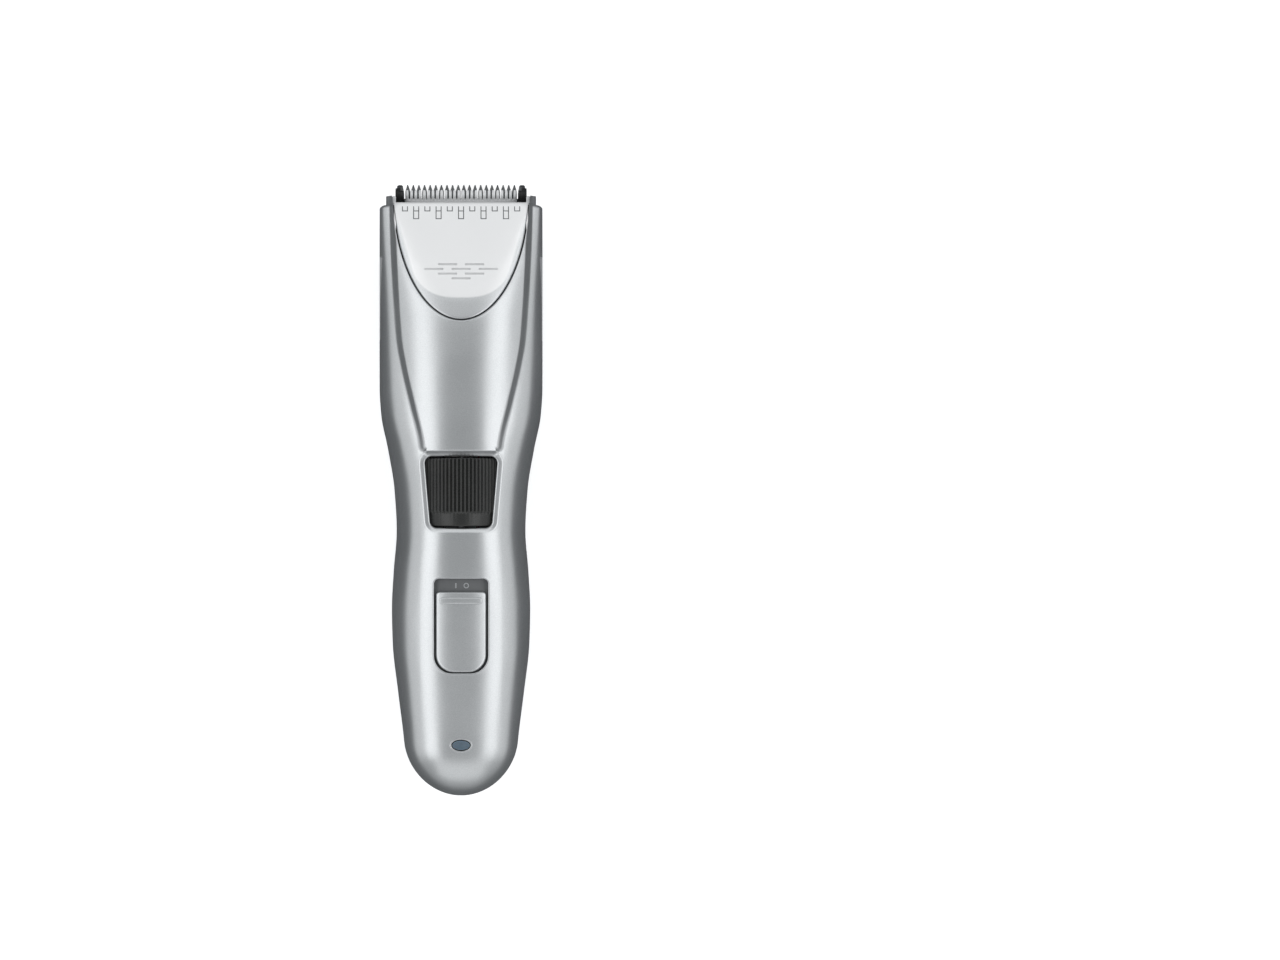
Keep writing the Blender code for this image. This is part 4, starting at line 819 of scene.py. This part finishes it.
def housing_half(row, end):
    shape = bmesh.new()
    outer = make_rings(shape, [row(y, 0) for y in stations(end, 0)])
    inner = make_rings(shape, [row(y, WALL) for y in stations(end, WALL)])
    skin(shape, outer, False)
    skin(shape, inner, False)
    for side in (0, -1):
        skin(shape, [[ring[side] for ring in outer], [ring[side] for ring in inner]], False)
    skin(shape, [outer[-1], inner[-1]], False)
    return shape


def cover_outline(grow, front, steps=72):
    """The head cover's outline, counterclockwise: half an ellipse at the back, straight beside the blade."""
    half = COVER_HALF_WIDTH + grow
    length = COVER_CENTRE - COVER_BACK + grow
    turns = [math.pi + math.pi * k / steps for k in range(steps + 1)]
    arc = [(half * math.cos(a), COVER_CENTRE + length * math.sin(a)) for a in turns]
    return [point for point in arc if point[1] < front] if front < COVER_CENTRE else arc


def switch_outline(size, front_radius, back_radius, start):
    return rounded_trapezoid(size[0], size[0], start, start + size[1], front_radius, back_radius)


def dial_window(grow):
    outline = rounded_trapezoid(*WINDOW_WIDTHS, WINDOW_BACK, WINDOW_FRONT, 2 * mm, 2 * mm)
    return inward(outline, -grow)


def switch_window(grow):
    return inward(switch_outline(SWITCH_SIZE, 1.5 * mm, 5 * mm, SWITCH_START), -grow)


def build_front_housing():
    low, high = 20 * mm, 50 * mm
    shell = add_piece("front_housing", housing_half(front_row, TIP - POST_END), SILVER, "housing",
                      ("front_shell",))
    opening = cover_outline(0.45 * mm, TIP + 5 * mm)
    opening = opening + [(opening[-1][0], TIP + 5 * mm), (opening[0][0], TIP + 5 * mm)]
    lug_low, lug_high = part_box("comb_slider")
    slot_end = lug_high.y + COMB_TRAVEL + GAP
    slots = []
    for side in (-1, 1):
        outline = rounded_box(10 * mm, slot_end - ARM_SLOT_START,
                              (side * 25 * mm, (ARM_SLOT_START + slot_end) / 2), 0.4 * mm)
        slots.append(prism(outline, lug_low.z - GAP, lug_low.z + 3.6 * mm))
    dial_low, dial_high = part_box("length_dial")
    radius = (dial_high.x - dial_low.x) / 2 + 2 * GAP
    centre_z = (dial_low.z + dial_high.z) / 2
    back, front = WINDOW_BACK - 1 * mm, WINDOW_FRONT + 1 * mm
    room = lathe([(0, back), (radius, back), (radius, front), (0, front)], (0, 0, centre_z), "Y", 96)
    lens_hole = inward(ellipse(LENS_SIZE[0] + GAP, LENS_SIZE[1] + GAP, LENS_Y), -0.25 * mm)
    cut(shell, [prism(dial_window(DIAL_FRAME), low, high), room, prism(switch_window(0.35 * mm), low, high),
                prism(lens_hole, low, high), prism(opening, low, high), *slots])


def build_rims():
    """Rounded edges around the windows of the front housing."""
    bevelled = [(2.1, -0.05), (1.95, 0.02), (1.8, 0.04), (1.6, 0.02), (1.4, -0.04), (0.5, -0.4),
                (0.22, -0.56), (0.06, -0.8), (0, -1.2), (0, -2.6)]
    narrow = [(0.8, -0.05), (0.65, 0.012), (0.45, 0.02), (0.28, 0.0), (0.14, -0.07), (0.04, -0.18),
              (0, -0.35), (0, -2.1)]
    fine = [(0.6, -0.04), (0.5, 0.008), (0.32, 0.01), (0.18, -0.01), (0.08, -0.06), (0.02, -0.14),
            (0, -0.25), (0, -1.6)]

    def add_rim(name, outline, profile, closed=True):
        edge = rim(outline, front_height, [(out * mm, up * mm) for out, up in profile], closed)
        add_piece(name, edge, SILVER, "housing", sharp=80)

    add_rim("dial_frame", dial_window(0), bevelled)
    add_rim("switch_frame", switch_window(0), narrow)
    add_rim("lens_frame", ellipse(LENS_SIZE[0] + GAP, LENS_SIZE[1] + GAP, LENS_Y), fine)
    edge = [point for point in cover_outline(GAP / 2, TIP, 120) if point[1] < TIP - POST_END]
    add_rim("head_opening_edge", edge, narrow, False)


def case_screws():
    """The name, x, y, head radius and lowest point of each case screw."""
    for number in range(1, 5):
        name = f"case_screw_{number}"
        low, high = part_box(name)
        yield name, (low.x + high.x) / 2, (low.y + high.y) / 2, (high.x - low.x) / 2, low.z


def build_rear_housing():
    rear_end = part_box("rear_shell")[1].y
    shell = add_piece("rear_housing", housing_half(back_row, rear_end), SILVER, "housing", ("rear_shell",))
    sinks, cups = [], []
    for _, x, y, head, low in case_screws():
        radius, roof = head + GAP, low + 1.6 * mm
        sinks.append(lathe([(0, -2 * mm), (radius, -2 * mm), (radius, roof), (0, roof)], (x, y, 0), "Z", 40))
        cups.append(screw_cup(x, y, radius, low + 1.4 * mm))
    frame_low, frame_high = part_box("blade_frame")
    slope = math.tan(math.radians(30))
    pocket_half = frame_high.x + 1.5 * GAP
    start = frame_low.y + 2 * GAP
    past = TIP + 10 * mm
    under = [(start, -2 * mm), (past, -2 * mm), (past, 18 * mm + 10 * mm * slope),
             (start, 18 * mm + (start - TIP) * slope)]
    inner = frame_low.y - GAP
    pocket = [(start, -2 * mm), (past, -2 * mm), (past, 40 * mm), (inner, 40 * mm), (inner, 9.2 * mm),
              (start, 9.2 * mm)]
    turned = Matrix(((0, 0, 1, 0), (1, 0, 0, 0), (0, 1, 0, 0), (0, 0, 0, 1)))
    hole = lathe([(0, TAIL - WALL), (1.7 * mm, TAIL - WALL), (1.7 * mm, TAIL + 5 * mm), (0, TAIL + 5 * mm)],
                 (0, 0, 14 * mm), "Y", 40)
    cut(shell, [*sinks, prism(under, -30 * mm, 30 * mm, turned),
                prism(pocket, -pocket_half, pocket_half, turned), hole])
    add_piece("screw_seats", joined(*cups), SILVER, "housing")


def screw_cup(x, y, radius, seat):
    """The wall of a screw's sink, from the back's surface up to the screw's seat, and the seat itself."""
    turns = [2 * math.pi * k / 40 for k in range(40)]
    wall = [(x + radius * math.cos(a), y + radius * math.sin(a)) for a in turns]
    bore = [Vector((x + 1.3 * mm * math.cos(a), y + 1.3 * mm * math.sin(a), seat)) for a in turns]
    shape = bmesh.new()
    rows = [[Vector((px, py, min(back_height(px, py) + 0.05 * mm, seat))) for px, py in wall],
            [Vector((px, py, seat)) for px, py in wall], bore]
    skin(shape, make_rings(shape, rows))
    return shape


def build_jack_collar():
    """A soft collar pressed in the charging socket's hole."""
    y = TAIL + 0.15 * mm
    profile = [(1.65, 3.2), (1.45, 0.6), (1.42, 0.35), (1.5, 0.12), (1.7, 0.02), (1.95, 0.0), (2.2, 0.1),
               (2.35, 0.4), (2.4, 1.2)]
    collar = lathe([(radius * mm, along * mm) for radius, along in profile], (0, y, 14 * mm), "Y", 48)
    add_piece("jack_collar", collar, DARK, "housing")


def build_screws():
    """Pan-head screws with a cross recess, in their sinks in the back."""
    profile = [(0, 0.0), (0.5, 0.01), (0.8, 0.08), (0.95, 0.22), (1.0, 0.42), (1.0, 1.3), (0.97, 1.4),
               (0.5, 1.4), (0.48, 1.5), (0.48, 6.6), (0.4, 6.9), (0, 6.9)]
    for number, (name, x, y, radius, low) in enumerate(case_screws(), 1):
        head = lathe([(share * radius, depth * mm) for share, depth in profile], (x, y, low), "Z", 40)
        screw = add_piece(f"pan_screw_{number}", head, STEEL, "housing", (name,))
        cut(screw, [prism(rounded_box(0.62 * mm, 2.5 * mm, (0, 0), 0.12 * mm), -1 * mm, 0.95 * mm,
                          Matrix.Translation((x, y, low)) @ Matrix.Rotation(math.radians(turn), 4, "Z"))
                    for turn in (20, 110)])


# ---------------------------------------------------------------- head

def pill(length, width, centre):
    return rounded_box(length, width, centre, width / 2 - 0.01 * mm)


def build_head_cover():
    outline = cover_outline(-GAP / 2, COVER_FRONT, 96)
    outline = resampled(outline, 0.9 * mm)
    centre = (0, COVER_BACK + 17 * mm)
    shape = crowned(outline, cover_height, centre, 0.45 * mm, 2.3 * mm, 44, 1.8 * mm)
    cover = add_piece("head_cover_skin", shape, COVER, "head", ("head_cover",))
    slots = []
    rows = ((16.3, (-3.9, 3.9)), (14.9, (-7.9, 0, 7.9)), (13.5, (-3.9, 3.9)), (12.1, (0,)))
    for ahead, places in rows:
        for x in places:
            y = COVER_BACK + ahead * mm
            top = cover_height(x * mm, y)
            slots.append(prism(pill(5.6 * mm, 0.6 * mm, (x * mm, y)), top - 0.55 * mm, top + 3 * mm))
    cut(cover, slots)


def build_cover_ears():
    """The two corners of the cover that stand up beside the blade."""
    ears = []
    for side in (-1, 1):
        centre = (side * (COVER_HALF_WIDTH - 0.2 * mm), COVER_FRONT + 0.55 * mm)
        ears.append(crowned(rounded_box(1.1 * mm, 2.3 * mm, centre, 0.4 * mm), facet_level, centre,
                            0.25 * mm, 1.4 * mm, 4))
    add_piece("cover_ears", joined(*ears), EAR_PAINT, "head")


def facet_level(_, y):
    """The ears' tops, just under the facet's plane at its front edge."""
    return facet_height(min(y, COVER_FRONT)) - 3.4 * mm


def build_length_marks():
    """Short and long marks behind the cutting edge, drawn as grey bars a hair above the cover's surface."""
    bars = []
    pitch, half = 3.28 * mm, 0.74 * mm
    top = COVER_FRONT - 1.9 * mm
    for number in range(11):
        x = (number - 5) * pitch
        low = top - 1.25 * mm
        far = top - 3.6 * mm if number % 2 else low
        runs = [((x - half, top), (x - half, far)), ((x + half, top), (x + half, far)),
                ((x - half, low), (x + half, low))]
        if number % 2:
            runs.append(((x - half, far), (x + half, far)))
        for a, b in runs:
            bars.append(mark_bar(a, b, 0.26 * mm))
    add_piece("length_marks", joined(*bars), MARKS, "head")


def mark_bar(a, b, width):
    """A bar that follows the head cover's surface a hair above it."""
    ax, ay = a
    bx, by = b
    length = math.hypot(bx - ax, by - ay) + width
    turn = math.atan2(by - ay, bx - ax) - math.pi / 2
    box = rounded_box(width, length, (0, 0), width * 0.3)
    cos, sin = math.cos(turn), math.sin(turn)
    centre = ((ax + bx) / 2, (ay + by) / 2)
    outline = [(centre[0] + x * cos - y * sin, centre[1] + x * sin + y * cos) for x, y in box]
    return crowned(outline, lambda x, y: cover_height(x, y) + 0.025 * mm, centre, 0.02 * mm, 0.15 * mm, 2)


def toothed_edge(width, back, count, pitch, tooth, tip_y, root_y, taper, thick, z, straight):
    """A blade: a plate with separate teeth that thin and narrow to their tips."""
    low, high = z, z + thick
    plate = rounded_box(width, root_y - back + 0.1 * mm, (0, (root_y + 0.1 * mm + back) / 2), 0.3 * mm)
    shapes = [slab(plate, low, high, 0.12 * mm)]
    for k in range(count):
        x = ((count - 1) / 2 - k) * pitch
        shapes.append(tooth_form(x, tooth, root_y, tip_y, taper, low, high, straight))
    return shapes


def slab(outline, low, high, edge):
    """A flat plate whose upper and lower edges are rounded off."""
    shape = bmesh.new()
    rings = [[Vector((x, y, z)) for x, y in inward(outline, inset)]
             for inset, z in ((edge, low), (edge * 0.3, low + edge * 0.3), (0, low + edge),
                              (0, high - edge), (edge * 0.3, high - edge * 0.3), (edge, high))]
    made = make_rings(shape, rings)
    skin(shape, made)
    cap(shape, made[0])
    cap(shape, made[-1])
    return shape


def tooth_form(x, width, root, tip, taper, low, high, straight=0.35):
    """One cutting tooth: flat underneath, with chamfered flanks that close in past its straight part."""
    shape = bmesh.new()
    rings = []
    for t in (0, 0.2, 0.4, 0.55, 0.68, 0.78, 0.86, 0.93, 0.98, 1):
        y = root + (tip - root) * t
        narrow = width / 2 * (1 - (1 - taper) * smooth((t - straight) / (1 - straight)))
        thick = (high - low) * (1 - 0.55 * smooth((t - 0.45) / 0.55))
        if t > 0.9:
            narrow *= math.sqrt(max(1 - ((t - 0.9) / 0.11) ** 2, 0.05))
        top = low + thick
        nip = min(0.14 * mm, narrow * 0.5)
        rings.append([Vector((x - narrow, y, low)), Vector((x + narrow, y, low)),
                      Vector((x + narrow, y, top - nip)), Vector((x + narrow - nip, y, top)),
                      Vector((x - narrow + nip, y, top)), Vector((x - narrow, y, top - nip))])
    made = make_rings(shape, rings)
    skin(shape, made)
    cap(shape, made[0])
    cap(shape, made[-1])
    return shape


def build_blades():
    fixed = toothed_edge(38.4 * mm, -18.5 * mm, FIXED_TEETH, FIXED_PITCH, FIXED_TOOTH, 0, -4.5 * mm, 0.3,
                         1.6 * mm, 0, 0.5)
    for side in (-1, 1):
        fixed.append(tooth_form(side * 18.0 * mm, 2.4 * mm, -4.5 * mm, -0.05 * mm, 0.7, 0, 1.6 * mm))
    blade = moved(joined(*fixed), BLADE_FRAME)
    add_piece("fixed_comb_blade", blade, BLADE_STEEL, "head", ("fixed_blade",))
    back = -13 * mm
    moving = toothed_edge(33.0 * mm, back, MOVING_TEETH, MOVING_PITCH, MOVING_TOOTH, -0.8 * mm, -3.5 * mm,
                          0.85, 1.2 * mm, 1.9 * mm, 0.35)
    # The moving blade's pale, hardly metallic steel is a painted highlight in the shade of the cover
    add_piece("moving_cutter_blade", moved(joined(*moving), BLADE_FRAME), PAINTED_BRIGHT_STEEL, "cutter",
              ("moving_blade",))


def build_blade_screws():
    """Countersunk screws that hold the blade from below."""
    for name, x in (("blade_screw_left", -12 * mm), ("blade_screw_right", 12 * mm)):
        place = BLADE_FRAME @ Matrix.Translation((x, -16 * mm, 0))
        profile = [(0, -0.02), (1.2, -0.02), (1.75, 0.02), (1.9, 0.14), (1.9, 0.9), (0.95, 1.0),
                   (0.95, 3.6), (0, 3.6)]
        shape = lathe([(radius * mm, along * mm) for radius, along in profile], (0, 0, 0), "Z", 36)
        screw = add_piece(name + "_head", moved(shape, place), STEEL, "head", (name,))
        cut(screw, [prism(rounded_box(0.5 * mm, 2.3 * mm, (0, 0), 0.1 * mm), -1 * mm, 0.6 * mm,
                          place @ Matrix.Rotation(math.radians(turn), 4, "Z"))
                    for turn in (35, 125)])


# ---------------------------------------------------------------- dial and switch

def build_dial():
    low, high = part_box("length_dial")
    radius = (high.x - low.x) / 2
    centre = Vector((0, 0, (low.z + high.z) / 2))
    back, front = low.y, high.y
    band = back + SMOOTH_BAND
    samples = DIAL_RIBS * 10
    turns = [2 * math.pi * k / samples for k in range(samples)]
    places = [(back, 0.35, 0), (back + 0.12 * mm, 0.12, 0), (back + 0.35 * mm, 0, 0),
              (band - 0.5 * mm, 0, 0), (band - 0.2 * mm, 0, 0.15), (band, 0, 0.5),
              (band + 0.25 * mm, 0, 0.9), (band + 0.5 * mm, 0, 1), (front - 0.5 * mm, 0, 1),
              (front - 0.25 * mm, 0.08, 1), (front - 0.08 * mm, 0.25, 1), (front, 0.5, 1)]
    shape = bmesh.new()
    rings = []
    for y, nip, ribbed in places:
        ring = []
        for a in turns:
            wave = (1 - math.cos(DIAL_RIBS * a)) / 2
            depth = RIB_DEPTH * (wave ** 1.6 * ribbed + (1 - ribbed) * 0.55)
            r = radius - depth - nip * mm
            ring.append(centre + Vector((r * math.sin(a), y, r * math.cos(a))))
        rings.append(ring)
    bore = 1.65 * mm
    for y in (front, back):
        rings.append([centre + Vector((bore * math.sin(a), y, bore * math.cos(a))) for a in turns])
    made = make_rings(shape, rings)
    skin(shape, made)
    skin(shape, [made[-1], made[0]])
    add_piece("ribbed_dial", shape, DIAL_BLACK, "dial", ("length_dial",), sharp=60)


def button_height(x, y):
    """The button's face: a little proud of the housing, and rounder across than it is."""
    return front_height(x, y) + 0.5 * mm - BUTTON_CROWN * (x / (BUTTON_SIZE[0] / 2)) ** 2


def build_switch():
    start = SWITCH_START + GAP
    outline = resampled(switch_outline(BUTTON_SIZE, 1 * mm, 5 * mm, start), 0.5 * mm)
    button = crowned(outline, button_height, (0, start + BUTTON_SIZE[1] * 0.5), 0.45 * mm, 2.05 * mm, 26)
    ridge_y = start + BUTTON_SIZE[1] - 2.5 * mm
    ridge_outline = rounded_box(12.5 * mm, 2.0 * mm, (0, ridge_y), 0.95 * mm)

    def ridge_height(x, y):
        bulge = math.sqrt(clamp(1 - ((y - ridge_y) / (1.05 * mm)) ** 2))
        return front_height(x, y) + 0.45 * mm + 0.42 * mm * bulge
    ridge = crowned(ridge_outline, ridge_height, (0, ridge_y), 0.15 * mm, 0.8 * mm, 8)
    add_piece("power_button", joined(button, ridge), SILVER, "power_switch", ("switch_button",))

    plate_low, plate_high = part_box("switch_plate")
    width = plate_high.x - plate_low.x
    plate_outline = rounded_trapezoid(width, width, plate_low.y, plate_high.y, 2 * mm, 6 * mm)
    under = 2.35 * mm
    plate = crowned(plate_outline, lambda x, y: front_height(x, y) - under,
                    (0, (plate_low.y + plate_high.y) / 2), 0.2 * mm, 1.0 * mm, 20)
    plate = add_piece("switch_recess_plate", plate, GREY, "housing", ("switch_plate",))
    stem_low, stem_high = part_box("switch_stem")
    slot_length = stem_high.y - stem_low.y + SWITCH_TRAVEL + 2 * GAP
    slot_centre = ((stem_low.x + stem_high.x) / 2, stem_low.y - GAP + slot_length / 2)
    slot = rounded_box(stem_high.x - stem_low.x + 2 * GAP, slot_length, slot_centre, 0.2 * mm)
    cut(plate, [prism(slot, 20 * mm, 50 * mm)])
    mark_y = SWITCH_START + SWITCH_SIZE[1] - 2.0 * mm
    marks = [on_plate(rounded_box(0.35 * mm, 1.5 * mm, (-1.5 * mm, mark_y), 0.12 * mm), under)]
    circle = [ellipse(size, size, mark_y, 32) for size in (1.6 * mm, 1.0 * mm)]
    ring = bmesh.new()
    rows = [[Vector((x + 1.5 * mm, y, front_height(x, y) - under + up)) for x, y in run]
            for run, up in ((circle[0], -0.1 * mm), (circle[0], 0.05 * mm), (circle[1], 0.05 * mm),
                            (circle[1], -0.1 * mm))]
    skin(ring, make_rings(ring, rows))
    marks.append(ring)
    add_piece("switch_marks", joined(*marks), SILVER, "housing")


def on_plate(outline, under):
    centre = (sum(x for x, _ in outline) / len(outline), sum(y for _, y in outline) / len(outline))
    return crowned(outline, lambda x, y: front_height(x, y) - under + 0.05 * mm, centre, 0.03 * mm,
                   0.2 * mm, 2)


def build_lens():
    outline = ellipse(LENS_SIZE[0] - 0.1 * mm, LENS_SIZE[1] - 0.1 * mm, LENS_Y)
    lens = crowned(outline, lambda x, y: front_height(x, y) - 0.05 * mm, (0, LENS_Y), 0.25 * mm,
                   1.6 * mm, 8)
    add_piece("indicator_window", lens, LENS, "housing", ("indicator_lens",))


# ---------------------------------------------------------------- stage

def build_stage():
    shape = bmesh.new()
    bmesh.ops.create_grid(shape, x_segments=40, y_segments=40, size=2.2)
    mesh = mesh_from(shape, "floor")
    mesh.materials.append(pale_floor())
    floor = new_object("floor", mesh)


def add_softbox(name, place, target, size, radiance):
    """A rectangular light of this radiance that faces its target, its longer side along Y where it can be."""
    light = bpy.data.lights.new(name, "AREA")
    light.shape = "RECTANGLE"
    light.size, light.size_y = size
    light.energy = radiance * size[0] * size[1] * math.pi
    lamp = new_object(name, light)
    back = (Vector(place) - Vector(target)).normalized()
    side = Vector((0, 1, 0)).cross(back).normalized()
    up = back.cross(side)
    lamp.matrix_world = Matrix.Translation(place) @ Matrix((side, up, back)).transposed().to_4x4()


def polar(turn, distance, towards_x=True):
    """A point this far from the origin, leaning this many degrees from straight up."""
    a = math.radians(turn)
    across, up = distance * math.sin(a), distance * math.cos(a)
    return (across, 0, up) if towards_x else (0, across, up)


def build_lights():
    for side, label in ((-1, "left"), (1, "right")):
        add_softbox(f"strip_{label}", polar(side * STRIP_LEAN, 1.4), (0, 0, 0), (0.72, 2.4), STRIP_LIGHT)
        add_softbox(f"side_{label}", polar(side * SIDE_LEAN, 1.5), (0, 0, 0), (0.9, 2.4), SIDE_LIGHT)
    add_softbox("head_end", polar(HEAD_LEAN, 1.5, False), (0, 0.05, 0), (1.0, 0.6), HEAD_LIGHT)
    add_softbox("tail_end", polar(TAIL_LEAN, 1.5, False), (0, -0.05, 0), (1.2, 0.7), TAIL_LIGHT)
    world = bpy.data.worlds.new("studio")
    world.use_nodes = True
    background = world.node_tree.nodes["Background"]
    background.inputs["Color"].default_value = (0.96, 0.985, 1, 1)
    background.inputs["Strength"].default_value = SKY_LIGHT
    bpy.context.scene.world = world
    bpy.context.scene.view_settings.view_transform = "Standard"


def build_camera():
    camera = bpy.data.cameras.new("camera")
    camera.lens = FOCAL
    camera.sensor_width = SENSOR
    camera.clip_start = 0.01
    camera.shift_x, camera.shift_y = CAMERA_SHIFT
    holder = new_object("camera", camera)
    holder.location = (0, (TIP + TAIL) / 2, PARTING_HEIGHT + CAMERA_DISTANCE)
    bpy.context.scene.camera = holder


build_camera()
for node, material in NODE_FINISHES.items():
    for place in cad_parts[node].material_slots:
        place.material = material
build_front_housing()
build_rims()
build_rear_housing()
build_jack_collar()
build_screws()
build_head_cover()
build_cover_ears()
build_length_marks()
build_blades()
build_blade_screws()
softened("blade_holder", "blade_frame", BLACK, "head", 0.22 * mm)
build_dial()
build_switch()
build_lens()
build_stage()
build_lights()
